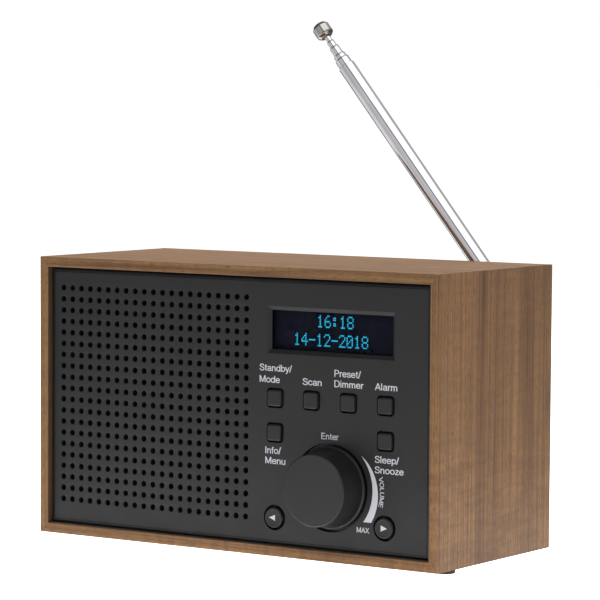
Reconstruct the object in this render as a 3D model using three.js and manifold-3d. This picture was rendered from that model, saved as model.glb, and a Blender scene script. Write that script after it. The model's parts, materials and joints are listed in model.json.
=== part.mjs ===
// Tabletop radio: a mitred wooden sleeve round a black front moulding, with a telescopic antenna
// on the back. Millimetres, +Z up. The front faces -Y, and +X is to the right of someone facing it.
// The origin is at the bottom of the feet, under the middle of the cabinet.

import * as THREE from 'three';
import { mergeVertices } from 'three/addons/utils/BufferGeometryUtils.js';
import Module from 'manifold-3d';

const wasm = await Module();
wasm.setup();

// ---------------------------------------------------------------- driving dimensions

const GAP = 0.3; // clearance between pieces that rest on each other
const BITE = 0.5; // how far a cutting or joining shape runs past a face
const EIGHTH = Math.PI / 4;
const QUARTER = Math.PI / 2;

// Cabinet
const WIDTH = 186;
const HEIGHT = 110;
const DEPTH = 83;
const WOOD = 4;
const FOOT_HEIGHT = 2;
const FOOT_RADIUS = 4;
const FOOT_EDGE = 0.5;
const FRONT_FOOT = { x: WIDTH / 2 - 6, y: -DEPTH / 2 + 15 };
const REAR_FOOT = { x: WIDTH / 2 - 14, y: DEPTH / 2 - 15 };
const CABINET_BOTTOM = FOOT_HEIGHT;
const CABINET_TOP = FOOT_HEIGHT + HEIGHT;
const CABINET_MIDDLE = FOOT_HEIGHT + HEIGHT / 2;
const INNER_WIDTH = WIDTH - 2 * WOOD - 2 * GAP;
const INNER_HEIGHT = HEIGHT - 2 * WOOD - 2 * GAP;

// Front moulding: depths below are measured back from its front face
const FRONT_RECESS = 2;
const FRONT_FACE = -DEPTH / 2 + FRONT_RECESS;
const PANEL = 3;
const PANEL_BACK = FRONT_FACE + PANEL;
const SKIRT_WALL = 1.6;
const SKIRT_DEPTH = 8;

// Layout on the front, from the cabinet's left outer side and down from its top
const across = (left) => left - WIDTH / 2;
const down = (fromTop) => CABINET_TOP - fromTop;

const WINDOW = {
  x: across(137.15), z: down(23.9), width: 54.4, height: 14.9, bevel: 1.45, bevelDepth: 0.95,
};
const LENS = { width: 58, height: 18.6, front: FRONT_FACE + 1.3, thick: 1.2 };
const CELL = { width: 64, height: 21, front: PANEL_BACK + GAP, thick: 2.8 };
const DISPLAY_BOARD = { width: 70, height: 26, front: PANEL_BACK + 3.4, thick: 1.2 };
const HEADER = { width: 40, low: 9.5, high: 12 }; // pin strip, measured up from the window's middle

const KEY = {
  size: 6.2, corner: 1.1, edge: 0.4, opening: 7.6, openingCorner: 1.5, proud: 1, flange: 9, flangeThick: 1,
};
const KEY_TRAVEL = 0.5;
const KEY_COLUMNS = [112.2, 128.7, 145.3, 161.8].map(across);
const KEY_ROW_UPPER = down(49.8);
const KEY_ROW_LOWER = down(63);
const KEYS = [
  { name: 'key_standby', x: KEY_COLUMNS[0], z: KEY_ROW_UPPER },
  { name: 'key_scan', x: KEY_COLUMNS[1], z: KEY_ROW_UPPER },
  { name: 'key_preset', x: KEY_COLUMNS[2], z: KEY_ROW_UPPER },
  { name: 'key_alarm', x: KEY_COLUMNS[3], z: KEY_ROW_UPPER },
  { name: 'key_info', x: KEY_COLUMNS[0], z: KEY_ROW_LOWER },
  { name: 'key_sleep', x: KEY_COLUMNS[3], z: KEY_ROW_LOWER },
];
const TUNE = { radius: 4, face: 3.2, edge: 0.6, opening: 4.75, proud: 0.8, flange: 5.6 };
const TUNE_ROW = down(95.4);
const TUNE_KEYS = [
  { name: 'button_down', x: across(112.1), z: TUNE_ROW },
  { name: 'button_up', x: across(161.6), z: TUNE_ROW },
];
const KNOB = {
  x: across(137.2), z: down(82.1), proud: 11.3, skirt: 16, neck: 15.2, face: 13.6, edge: 0.4, wall: 2,
  roof: 2.4, sunk: 0.9, hub: 5, hubSunk: 0.2,
};
const KNOB_STEP = { low: 0.6, high: 1.4 }; // the chamfer above the skirt, out from the front face
const KNOB_WELL = { radius: 16.75, depth: 2 };
const PRESS_TRAVEL = 0.6;
const ENCODER = {
  size: 12, bushing: 4.2, bore: 3.3, shaft: 3, collar: 3.6, cavity: 3.9, cavityDepth: 4.1, floor: 0.5,
  plunger: 1.2, shaftSunk: 2.6,
};

// Loudspeaker behind the field of holes
const SPEAKER = { x: across(54.5), z: down(54.1), flange: 42, mount: 39.2, seatInner: 37, seatOuter: 41.4 };
const SPEAKER_FRONT = PANEL_BACK + 2.3;
const BASKET = {
  rim: 34.9, rimDepth: 1.6, floor: 23.8, hole: 12, wall: 1.2, flange: 1.4, draft: 1.7, depth: 14,
};
const MOTOR = {
  gap: 10.6, plate: 24, plateThick: 3, magnet: 26, magnetHole: 13, magnetThick: 8, pole: 8.8, yokeThick: 3.5,
};
const COIL = { inner: 9.3, outer: 9.9 };
const CONE = { outer: 29, inner: 10.4, depth: 11, thick: 0.7 };
const CAP = { radius: 9.6, rise: 3.5, thick: 0.6, depth: 10.1 };
const ROLL = { middle: 31.75, outer: 2.1, inner: 1.6, lip: 0.5, edgeIn: 29.3, edgeOut: 34.3 };
const SPIDER = { inner: 10.5, outer: 22.6, wave: 0.5, thick: 0.5, depth: 12.4, waves: 3 };
const TERMINAL = { reach: 34, thick: 1, width: 14, depth: 9.6 };
const SPEAKER_SCREW = { shank: 0.8, bore: 1.1, flangeBore: 1.8, head: 2.4, headHeight: 1.4, deep: 1.1 };

// Boards
const BOARD = 1.6;
const CONTROL = { left: 1.5, right: 86, bottom: 9, top: 104, front: FRONT_FACE + 9.2 };
const SWITCH = { size: 6, height: 3.2, bore: 1.8, boreDepth: 2 * GAP + KEY_TRAVEL + GAP };
const POST_RADIUS = 2.5;
const STAKE_RADIUS = 1;
const STAKE_HOLE = 1.3;
const CONTROL_POSTS = [[5, 12.5], [82.5, 12.5], [5, 100.5], [82.5, 100.5]];

// Back
const REAR_RECESS = 1.8;
const REAR_THICK = 2.8;
const REAR_FACE = DEPTH / 2 - REAR_RECESS;
const REAR_INNER = REAR_FACE - REAR_THICK;
const BATTEN = { width: 10, depth: 12 };
const BATTEN_X = WIDTH / 2 - WOOD - GAP - BATTEN.width / 2;
const REAR_SCREWS = [[-BATTEN_X, 15], [BATTEN_X, 15], [-BATTEN_X, 99], [BATTEN_X, 99]];
const SCREW = { shank: 1.45, bore: 1.75, head: 3, headHeight: 1.6, length: 9, point: 1, sunk: 1 };
const MAIN = { left: -2, right: 62, bottom: 11, top: 53, front: REAR_INNER - 9.6 };
const MAIN_POSTS = [[2, 15], [58, 15], [2, 49], [58, 49]];
const RIBBON = { x: 24, width: 14, thick: 0.8, fromZ: 42, toZ: 40, sag: 8, reach: 18, steps: 12 };
const SPEAKER_WIRE = 1; // radius
const ANTENNA_WIRE = 0.7; // radius
const POWER = { x: 45, z: 24, width: 9, height: 11, bore: 3, boreDepth: 9, pin: 1 };
const PHONES = { x: 18, z: 24, size: 8, nose: 3.8, bore: 1.85, boreDepth: 9.5 };

// Antenna: the stud is its swivel axis, along Y, and the cross pin is its tilt axis
const ANTENNA = { x: 70.5, z: 95, lean: 39.4 };
const STUD = {
  radius: 1.5, bore: 1.8, nut: 3.2, nutThick: 2.4, tag: 4.6, tagWidth: 3, tagThick: 0.8, end: 5.4,
};
const FORK = { radius: 4, foot: 5, footThick: 1.6, slot: 3.2, tongue: 2.6, knuckle: 3.2, edge: 0.4 };
const PIN = { radius: 1, bore: 1.2, length: 7.4 };
const ANTENNA_AXIS = DEPTH / 2 - FRONT_RECESS + KNOB.proud - FORK.radius;
const TUBE_START = 5.6; // from the cross pin to the end of the outer tube
const TUBE_MOUTH = 120.6; // from the cross pin to the mouth of the outer tube
const TUBE_PLUG = 4; // solid length at the foot of the outer tube
// Each inner section's outer radius, wall and how far it stands out of the one round it when closed
const SECTIONS = [
  { name: 'antenna_tube_2', radius: 3, wall: 0.3, proud: 3.6 },
  { name: 'antenna_tube_3', radius: 2.5, wall: 0.3, proud: 2.1 },
  { name: 'antenna_tube_4', radius: 2, wall: 0.3, proud: 4 },
  { name: 'antenna_tube_5', radius: 1.55, wall: 0.25, proud: 3 },
];
const OUTER_TUBE = { radius: 3.5, wall: 0.4, edge: 0.5 };
const MOUTH_EDGE = 0.2;
const ROD = { radius: 1.2, proud: 2.6, inTip: 4.2 };
const TIP = { radius: 3.6, length: 6.2, edge: 1.1, roof: 1.6 };
const SECTION_STEP = 1.2; // each section starts this much further up than the one round it

// Facets
const FINE_ROUND = 40;
const ROUND = 24;
const SMALL_ROUND = 12;
const TINY_ROUND = 8;
const TUBE_ROUND = 20;
const CORNER_STEPS = 2;
const ROLL_STEPS = 4;

// ---------------------------------------------------------------- materials

const LOOKS = {
  walnut: { color: 0x7d5c40, roughness: 0.55, metalness: 0 },
  batten: { color: 0xc9a978, roughness: 0.8, metalness: 0 },
  front: { color: 0x303032, roughness: 0.6, metalness: 0 },
  rear: { color: 0x1c1c1e, roughness: 0.7, metalness: 0 },
  key: { color: 0x38383a, roughness: 0.5, metalness: 0 },
  lens: { color: 0x0a0c14, roughness: 0.08, metalness: 0 },
  cell: { color: 0x0e1a2c, roughness: 0.2, metalness: 0 },
  board: { color: 0x1f5a35, roughness: 0.5, metalness: 0 },
  rubber: { color: 0x2a2a2b, roughness: 0.9, metalness: 0 },
  chrome: { color: 0xd8d8dc, roughness: 0.12, metalness: 1 },
  steel: { color: 0x9a9a9c, roughness: 0.35, metalness: 1 },
  ferrite: { color: 0x2b2b2d, roughness: 0.8, metalness: 0 },
  copper: { color: 0xb5713a, roughness: 0.4, metalness: 1 },
  cone: { color: 0x1a1a1b, roughness: 0.95, metalness: 0 },
  spider: { color: 0xb98c3c, roughness: 0.9, metalness: 0 },
  lead: { color: 0x202024, roughness: 0.6, metalness: 0 },
};

// ---------------------------------------------------------------- solids

// A geometry as a manifold solid, turned outside out if its faces point in.
function solid(geometry) {
  const bare = geometry.clone();
  bare.deleteAttribute('normal');
  bare.deleteAttribute('uv');
  const merged = mergeVertices(bare, 1e-4);
  const position = merged.attributes.position;
  const index = Uint32Array.from(merged.index.array);
  const a = new THREE.Vector3();
  const b = new THREE.Vector3();
  const c = new THREE.Vector3();
  let volume = 0;
  for (let i = 0; i < index.length; i += 3) {
    a.fromBufferAttribute(position, index[i]);
    b.fromBufferAttribute(position, index[i + 1]);
    c.fromBufferAttribute(position, index[i + 2]);
    volume += a.dot(b.cross(c));
  }
  if (volume < 0) {
    for (let i = 0; i < index.length; i += 3) {
      [index[i], index[i + 1]] = [index[i + 1], index[i]];
    }
  }
  const vertProperties = Float32Array.from(position.array);
  return new wasm.Manifold(new wasm.Mesh({ numProp: 3, vertProperties, triVerts: index }));
}

function geometryOf(manifold) {
  const { vertProperties, triVerts } = manifold.getMesh();
  const geometry = new THREE.BufferGeometry();
  geometry.setAttribute('position', new THREE.BufferAttribute(vertProperties, 3));
  geometry.setIndex(new THREE.BufferAttribute(triVerts, 1));
  geometry.computeVertexNormals();
  return geometry;
}

const join = (first, ...others) => others.reduce((sum, other) => sum.add(other), first);
const cut = (first, ...others) => others.reduce((rest, other) => rest.subtract(other), first);

// A box given by its low and high corners.
function block(low, high) {
  const size = high.map((value, i) => value - low[i]);
  const middle = high.map((value, i) => (value + low[i]) / 2);
  return solid(new THREE.BoxGeometry(...size).translate(...middle));
}

// A solid turned about an axis along Y through (x, z). The profile is a list of [radius, y].
function turned(profile, x = 0, z = 0, sides = ROUND) {
  const points = profile.map(([radius, y]) => new THREE.Vector2(radius, y));
  return solid(new THREE.LatheGeometry(points, sides).translate(x, 0, z));
}

function disc(radius, y0, y1, x = 0, z = 0, sides = ROUND) {
  return turned([[0, y0], [radius, y0], [radius, y1], [0, y1]], x, z, sides);
}

function ring(inner, outer, y0, y1, x = 0, z = 0, sides = ROUND) {
  return turned([[inner, y0], [outer, y0], [outer, y1], [inner, y1], [inner, y0]], x, z, sides);
}

// The same turned shapes about Z instead, for the antenna, which is built upright from its pin.
const upright = (manifold) => solid(geometryOf(manifold).rotateX(QUARTER));

function roundedSquare(size, corner) {
  const half = size / 2;
  const flat = half - corner;
  const shape = new THREE.Shape();
  shape.absarc(flat, flat, corner, 0, QUARTER);
  shape.absarc(-flat, flat, corner, QUARTER, 2 * QUARTER);
  shape.absarc(-flat, -flat, corner, 2 * QUARTER, 3 * QUARTER);
  shape.absarc(flat, -flat, corner, 3 * QUARTER, 4 * QUARTER);
  shape.closePath();
  return shape;
}

// A square prism with rounded corners, between two depths along Y.
function squarePrism(size, corner, y0, y1, x, z) {
  const options = { depth: y1 - y0, bevelEnabled: false, curveSegments: CORNER_STEPS };
  const geometry = new THREE.ExtrudeGeometry(roundedSquare(size, corner), options);
  return solid(geometry.rotateX(QUARTER).translate(x, y1, z));
}

// A straight-sided solid between two rectangles that face each other along Y.
function frustum(near, far) {
  const corners = [near, far].flatMap(({ x, z, width, height, y }) => [
    [x - width / 2, y, z - height / 2],
    [x + width / 2, y, z - height / 2],
    [x + width / 2, y, z + height / 2],
    [x - width / 2, y, z + height / 2],
  ]);
  const geometry = new THREE.BufferGeometry();
  geometry.setAttribute('position', new THREE.Float32BufferAttribute(corners.flat(), 3));
  const faces = [[0, 1, 2, 3], [7, 6, 5, 4], [0, 4, 5, 1], [1, 5, 6, 2], [2, 6, 7, 3], [3, 7, 4, 0]];
  geometry.setIndex(faces.flatMap(([a, b, c, d]) => [a, b, c, a, c, d]));
  return solid(geometry);
}

// A round lead along a smooth curve through points.
function lead(points, radius, steps) {
  const path = new THREE.CatmullRomCurve3(points.map((point) => new THREE.Vector3(...point)));
  const section = new THREE.Shape();
  section.absarc(0, 0, radius, 0, 4 * QUARTER);
  const options = { steps, extrudePath: path, curveSegments: 4 };
  return solid(new THREE.ExtrudeGeometry(section, options));
}

// ---------------------------------------------------------------- scene graph

const radio = new THREE.Group();

function place(name, manifold, look, parent = radio) {
  const mesh = new THREE.Mesh(geometryOf(manifold), new THREE.MeshStandardMaterial(LOOKS[look]));
  mesh.name = name;
  parent.add(mesh);
}

// ---------------------------------------------------------------- wooden sleeve

// A mitred panel, drawn as its trapezoid section in X and Z and extruded along Y.
function sleevePanel(corners) {
  const shape = new THREE.Shape(corners.map(([x, z]) => new THREE.Vector2(x, z)));
  const geometry = new THREE.ExtrudeGeometry(shape, { depth: DEPTH, bevelEnabled: false });
  return solid(geometry.rotateX(QUARTER).translate(0, DEPTH / 2, 0));
}

function sleeve() {
  const side = WIDTH / 2;
  const inner = side - WOOD;
  const saw = GAP / Math.SQRT2; // half of the mitre gap, measured along a panel
  const level = (outer, inside) => [
    [-side + saw, outer], [side - saw, outer], [inner - saw, inside], [-inner + saw, inside],
  ];
  const wall = (sign) => [
    [sign * side, CABINET_BOTTOM + saw], [sign * side, CABINET_TOP - saw],
    [sign * inner, CABINET_TOP - WOOD - saw], [sign * inner, CABINET_BOTTOM + WOOD + saw],
  ];
  place('top_panel', sleevePanel(level(CABINET_TOP, CABINET_TOP - WOOD)), 'walnut');
  place('bottom_panel', sleevePanel(level(CABINET_BOTTOM, CABINET_BOTTOM + WOOD)), 'walnut');
  place('left_panel', sleevePanel(wall(-1)), 'walnut');
  place('right_panel', sleevePanel(wall(1)), 'walnut');
}

function feet() {
  const top = FOOT_HEIGHT - GAP;
  const rim = FOOT_RADIUS - FOOT_EDGE;
  const pad = upright(turned([[0, 0], [rim, 0], [FOOT_RADIUS, FOOT_EDGE], [FOOT_RADIUS, top], [0, top]]));
  for (const [side, sign] of [['left', -1], ['right', 1]]) {
    for (const [row, spot] of [['front', FRONT_FOOT], ['rear', REAR_FOOT]]) {
      place(`foot_${row}_${side}`, pad.translate([sign * spot.x, spot.y, 0]), 'rubber');
    }
  }
}

// ---------------------------------------------------------------- front moulding

function post(x, z, from, to, board) {
  return [
    disc(POST_RADIUS, from, to, x, z, TINY_ROUND),
    disc(STAKE_RADIUS, from, board, x, z, TINY_ROUND),
  ];
}

function stakeHoles(spots, front) {
  return spots.map(([x, z]) => disc(STAKE_HOLE, front - BITE, front + BOARD + BITE, x, z, TINY_ROUND));
}

function speakerSpots() {
  return [1, 3, 5, 7].map((turn) => ({
    x: SPEAKER.x + SPEAKER.mount * Math.cos(turn * EIGHTH),
    z: SPEAKER.z + SPEAKER.mount * Math.sin(turn * EIGHTH),
  }));
}

function frontPanel() {
  const halfX = INNER_WIDTH / 2;
  const halfZ = INNER_HEIGHT / 2;
  const low = CABINET_MIDDLE - halfZ;
  const high = CABINET_MIDDLE + halfZ;
  const tray = cut(
    block([-halfX, FRONT_FACE, low], [halfX, FRONT_FACE + SKIRT_DEPTH, high]),
    block(
      [-halfX + SKIRT_WALL, PANEL_BACK, low + SKIRT_WALL],
      [halfX - SKIRT_WALL, FRONT_FACE + SKIRT_DEPTH + BITE, high - SKIRT_WALL],
    ),
  );
  const back = PANEL_BACK - BITE;
  const through = PANEL_BACK + BITE;
  const additions = [
    ring(SPEAKER.seatInner, SPEAKER.seatOuter, back, SPEAKER_FRONT - GAP, SPEAKER.x, SPEAKER.z),
    ...CONTROL_POSTS.flatMap(([x, z]) => post(x, z, back, CONTROL.front - GAP, CONTROL.front + BOARD + 1)),
  ];
  const ahead = FRONT_FACE - BITE;
  // The window: a bevel, a straight lip, and a rebate behind it for the lens
  const { x, z, width, height, bevel, bevelDepth } = WINDOW;
  const openings = [
    frustum(
      { x, z, width: width + 2 * bevel, height: height + 2 * bevel, y: FRONT_FACE },
      { x, z, width, height, y: FRONT_FACE + bevelDepth },
    ),
    block(
      [x - width / 2 - bevel, ahead, z - height / 2 - bevel],
      [x + width / 2 + bevel, FRONT_FACE, z + height / 2 + bevel],
    ),
    block([x - width / 2, FRONT_FACE, z - height / 2], [x + width / 2, through, z + height / 2]),
    block(
      [x - LENS.width / 2 - GAP, LENS.front - GAP, z - LENS.height / 2 - GAP],
      [x + LENS.width / 2 + GAP, through, z + LENS.height / 2 + GAP],
    ),
    ...KEYS.map((key) => squarePrism(KEY.opening, KEY.openingCorner, ahead, through, key.x, key.z)),
    ...TUNE_KEYS.map((key) => disc(TUNE.opening, ahead, through, key.x, key.z)),
    disc(KNOB_WELL.radius, ahead, FRONT_FACE + KNOB_WELL.depth, KNOB.x, KNOB.z, FINE_ROUND),
    disc(ENCODER.bushing + GAP, FRONT_FACE, through, KNOB.x, KNOB.z),
    ...speakerSpots().map((spot) => disc(
      SPEAKER_SCREW.bore, PANEL_BACK - SPEAKER_SCREW.deep - GAP, SPEAKER_FRONT, spot.x, spot.z, TINY_ROUND,
    )),
  ];
  place('front_panel', cut(join(tray, ...additions), ...openings), 'front');
}

// ---------------------------------------------------------------- display

function display() {
  const slab = ({ width, height, front, thick }) => block(
    [WINDOW.x - width / 2, front, WINDOW.z - height / 2],
    [WINDOW.x + width / 2, front + thick, WINDOW.z + height / 2],
  );
  const boardBack = DISPLAY_BOARD.front + DISPLAY_BOARD.thick;
  const header = block(
    [WINDOW.x - HEADER.width / 2, boardBack - BITE, WINDOW.z + HEADER.low],
    [WINDOW.x + HEADER.width / 2, CONTROL.front - GAP, WINDOW.z + HEADER.high],
  );
  place('display_lens', slab(LENS), 'lens');
  place('display_cell', slab(CELL), 'cell');
  place('display_board', join(slab(DISPLAY_BOARD), header), 'board');
}

// ---------------------------------------------------------------- keys and control board

const KEY_STEM = 1.5;
const KEY_TIP = CONTROL.front - SWITCH.height + GAP; // the key's tip rests just inside its switch

function keys() {
  const flangeFront = PANEL_BACK + GAP;
  for (const { name, x, z } of KEYS) {
    const front = FRONT_FACE - KEY.proud;
    const face = KEY.size - 2 * KEY.edge;
    const brow = KEY.size - KEY.edge / 2;
    place(name, join(
      frustum(
        { x, z, width: face, height: face, y: front },
        { x, z, width: brow, height: brow, y: front + KEY.edge },
      ),
      squarePrism(KEY.size, KEY.corner, front + KEY.edge, flangeFront + BITE, x, z),
      squarePrism(KEY.flange, KEY.openingCorner, flangeFront, flangeFront + KEY.flangeThick, x, z),
      disc(KEY_STEM, flangeFront, KEY_TIP, x, z, TINY_ROUND),
    ), 'key');
  }
  for (const { name, x, z } of TUNE_KEYS) {
    const front = FRONT_FACE - TUNE.proud;
    const flangeBack = flangeFront + KEY.flangeThick;
    place(name, join(
      turned([
        [0, front], [TUNE.face, front], [TUNE.radius, front + TUNE.edge], [TUNE.radius, flangeFront],
        [TUNE.flange, flangeFront], [TUNE.flange, flangeBack], [0, flangeBack],
      ], x, z),
      disc(KEY_STEM, flangeFront, KEY_TIP, x, z, TINY_ROUND),
    ), 'key');
  }
}

function controlBoard() {
  const { left, right, bottom, top, front } = CONTROL;
  const plate = block([left, front, bottom], [right, front + BOARD, top]);
  const half = SWITCH.size / 2;
  const spots = [...KEYS, ...TUNE_KEYS];
  const bodies = spots.map(({ x, z }) => block(
    [x - half, front - SWITCH.height, z - half],
    [x + half, front + BITE, z + half],
  ));
  const roof = front - SWITCH.height;
  const bores = spots.map(({ x, z }) => disc(
    SWITCH.bore, roof - BITE, roof + SWITCH.boreDepth, x, z, TINY_ROUND,
  ));
  const holes = stakeHoles(CONTROL_POSTS, front);
  place('control_board', cut(join(plate, ...bodies), ...bores, ...holes), 'board');
}

// ---------------------------------------------------------------- knob and encoder

function knobAndEncoder() {
  const { x, z } = KNOB;
  const bodyBack = CONTROL.front - GAP;
  const bodyFront = PANEL_BACK + 2 * GAP;
  const cavityBack = bodyBack - ENCODER.floor;
  const cavityFront = cavityBack - ENCODER.cavityDepth;
  const half = ENCODER.size / 2;
  place('encoder_body', cut(
    join(
      block([x - half, bodyFront, z - half], [x + half, bodyBack, z + half]),
      disc(ENCODER.bushing, FRONT_FACE + KNOB_WELL.depth - 0.8, bodyFront + BITE, x, z),
    ),
    disc(ENCODER.bore, FRONT_FACE, cavityBack - BITE, x, z),
    disc(ENCODER.cavity, cavityFront, cavityBack, x, z),
  ), 'steel');

  const plungerBack = cavityBack - GAP - PRESS_TRAVEL;
  const plungerFront = plungerBack - ENCODER.plunger;
  place('encoder_plunger', disc(ENCODER.collar, plungerFront, plungerBack, x, z), 'rear');

  const front = FRONT_FACE - KNOB.proud;
  const collarBack = plungerFront - GAP;
  const collarFront = cavityFront + GAP;
  const shaftFront = front + ENCODER.shaftSunk;
  place('encoder_shaft', turned([
    [0, shaftFront], [ENCODER.shaft, shaftFront], [ENCODER.shaft, collarFront],
    [ENCODER.collar, collarFront], [ENCODER.collar, collarBack], [0, collarBack],
  ], x, z), 'steel');

  // The knob is a cup with a hub on the shaft. Its skirt stands in the front moulding's round well.
  const skirtBack = FRONT_FACE + KNOB.sunk;
  const hubBack = FRONT_FACE + KNOB.hubSunk;
  const boreEnd = shaftFront - GAP;
  const ceiling = front + KNOB.roof;
  place('knob', turned([
    [0, boreEnd], [ENCODER.bore, boreEnd], [ENCODER.bore, hubBack], [KNOB.hub, hubBack],
    [KNOB.hub, ceiling], [KNOB.face - KNOB.wall, ceiling], [KNOB.skirt - KNOB.wall, skirtBack],
    [KNOB.skirt, skirtBack], [KNOB.skirt, FRONT_FACE - KNOB_STEP.low],
    [KNOB.neck, FRONT_FACE - KNOB_STEP.high],
    [KNOB.face, front + KNOB.edge], [KNOB.face - KNOB.edge, front], [0, front],
  ], x, z, FINE_ROUND), 'key');
}

// ---------------------------------------------------------------- loudspeaker

function speakerBasket(floor, plateBack) {
  const { x, z } = SPEAKER;
  const front = SPEAKER_FRONT;
  const flangeBack = front + BASKET.flange;
  const shell = turned([
    [BASKET.rim, front], [SPEAKER.flange, front], [SPEAKER.flange, flangeBack],
    [BASKET.rim + BASKET.draft, flangeBack], [BASKET.floor + BASKET.draft, floor + BASKET.wall],
    [BASKET.hole, floor + BASKET.wall], [BASKET.hole, floor], [BASKET.floor, floor],
    [BASKET.rim, front + BASKET.rimDepth], [BASKET.rim, front],
  ], x, z);
  const windows = [1, 3, 5, 7].map((turn) => {
    const opening = new THREE.BoxGeometry(24, 8.5, 18).translate(32, front + 8.2, 0);
    return solid(opening.rotateY(turn * EIGHTH).translate(x, 0, z));
  });
  const topPlate = ring(MOTOR.gap, MOTOR.plate, floor + BASKET.wall / 2, plateBack, x, z);
  const terminal = block(
    [x + TERMINAL.reach - 6, front + TERMINAL.depth, z - TERMINAL.width / 2],
    [x + TERMINAL.reach, front + TERMINAL.depth + TERMINAL.thick, z + TERMINAL.width / 2],
  );
  const holes = speakerSpots().map((spot) => disc(
    SPEAKER_SCREW.flangeBore, front - BITE, flangeBack + BITE, spot.x, spot.z, TINY_ROUND,
  ));
  return cut(join(cut(shell, ...windows), topPlate, terminal), ...holes);
}

// One side of the surround's half-roll, from its outer to its inner edge.
function rollCurve(radius, y) {
  return Array.from({ length: ROLL_STEPS + 1 }, (_, i) => {
    const angle = (i / ROLL_STEPS) * 2 * QUARTER;
    return [ROLL.middle + radius * Math.cos(angle), y + radius * Math.sin(angle)];
  });
}

function speakerSpider(y) {
  const crest = (i) => [
    SPIDER.inner + (i / SPIDER.waves) * (SPIDER.outer - SPIDER.inner),
    y + (i % 2) * SPIDER.wave,
  ];
  const under = Array.from({ length: SPIDER.waves + 1 }, (_, i) => crest(i));
  const over = under.map(([radius, depth]) => [radius, depth + SPIDER.thick]).reverse();
  return turned([...under, ...over, under[0]], SPEAKER.x, SPEAKER.z);
}

function speaker() {
  const { x, z } = SPEAKER;
  const front = SPEAKER_FRONT;
  const floor = front + BASKET.depth;
  const plateBack = floor + BASKET.wall + MOTOR.plateThick;
  place('speaker_basket', speakerBasket(floor, plateBack), 'steel');

  const magnetFront = plateBack + GAP;
  const magnetBack = magnetFront + MOTOR.magnetThick;
  const yokeFront = magnetBack + GAP;
  const yokeBack = yokeFront + MOTOR.yokeThick;
  const poleFront = floor + BASKET.wall / 2;
  place('speaker_magnet', ring(MOTOR.magnetHole, MOTOR.magnet, magnetFront, magnetBack, x, z), 'ferrite');
  place('speaker_yoke', turned([
    [0, poleFront], [MOTOR.pole, poleFront], [MOTOR.pole, yokeFront],
    [MOTOR.plate, yokeFront], [MOTOR.plate, yokeBack], [0, yokeBack],
  ], x, z), 'steel');

  // Moving parts: paper cone, dust cap and voice coil, held by the surround and the spider
  const coneFront = front + 0.5;
  const coneBack = front + CONE.depth;
  place('speaker_cone', turned([
    [CONE.outer, coneFront], [CONE.outer, coneFront + CONE.thick], [CONE.inner + CONE.thick, coneBack],
    [CONE.inner, coneBack], [CONE.inner, coneBack - 1.2], [CONE.outer - 1.4, coneFront],
    [CONE.outer, coneFront],
  ], x, z), 'cone');
  const capEdge = front + CAP.depth;
  const capCurve = (radius, rise) => [1, 0.75, 0.4, 0].map((part) => [
    radius * part,
    capEdge - rise * Math.sqrt(1 - part * part),
  ]);
  place('speaker_dust_cap', turned([
    ...capCurve(CAP.radius, CAP.rise).reverse(),
    ...capCurve(CAP.radius - CAP.thick, CAP.rise - CAP.thick),
  ], x, z), 'cone');
  place('speaker_voice_coil', ring(COIL.inner, COIL.outer, capEdge + GAP, floor + 4, x, z), 'copper');
  place('speaker_spider', speakerSpider(front + SPIDER.depth), 'spider');

  const lip = front + 0.4;
  const crease = lip + ROLL.lip;
  place('speaker_surround', turned([
    [ROLL.edgeOut, lip], [ROLL.edgeOut, crease], ...rollCurve(ROLL.outer, crease),
    [ROLL.edgeIn, crease], [ROLL.edgeIn, lip], ...rollCurve(ROLL.inner, crease - 0.1).reverse(),
    [ROLL.edgeOut, lip],
  ], x, z), 'rubber');

  const { shank, head, headHeight, deep } = SPEAKER_SCREW;
  speakerSpots().forEach((spot, i) => {
    const end = PANEL_BACK - deep;
    const seat = front + BASKET.flange + GAP;
    place(`speaker_screw_${i + 1}`, turned([
      [0, end], [shank, end], [shank, seat], [head, seat], [head - 0.4, seat + headHeight],
      [0, seat + headHeight],
    ], spot.x, spot.z, TINY_ROUND), 'steel');
  });
}

// ---------------------------------------------------------------- back

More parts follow.
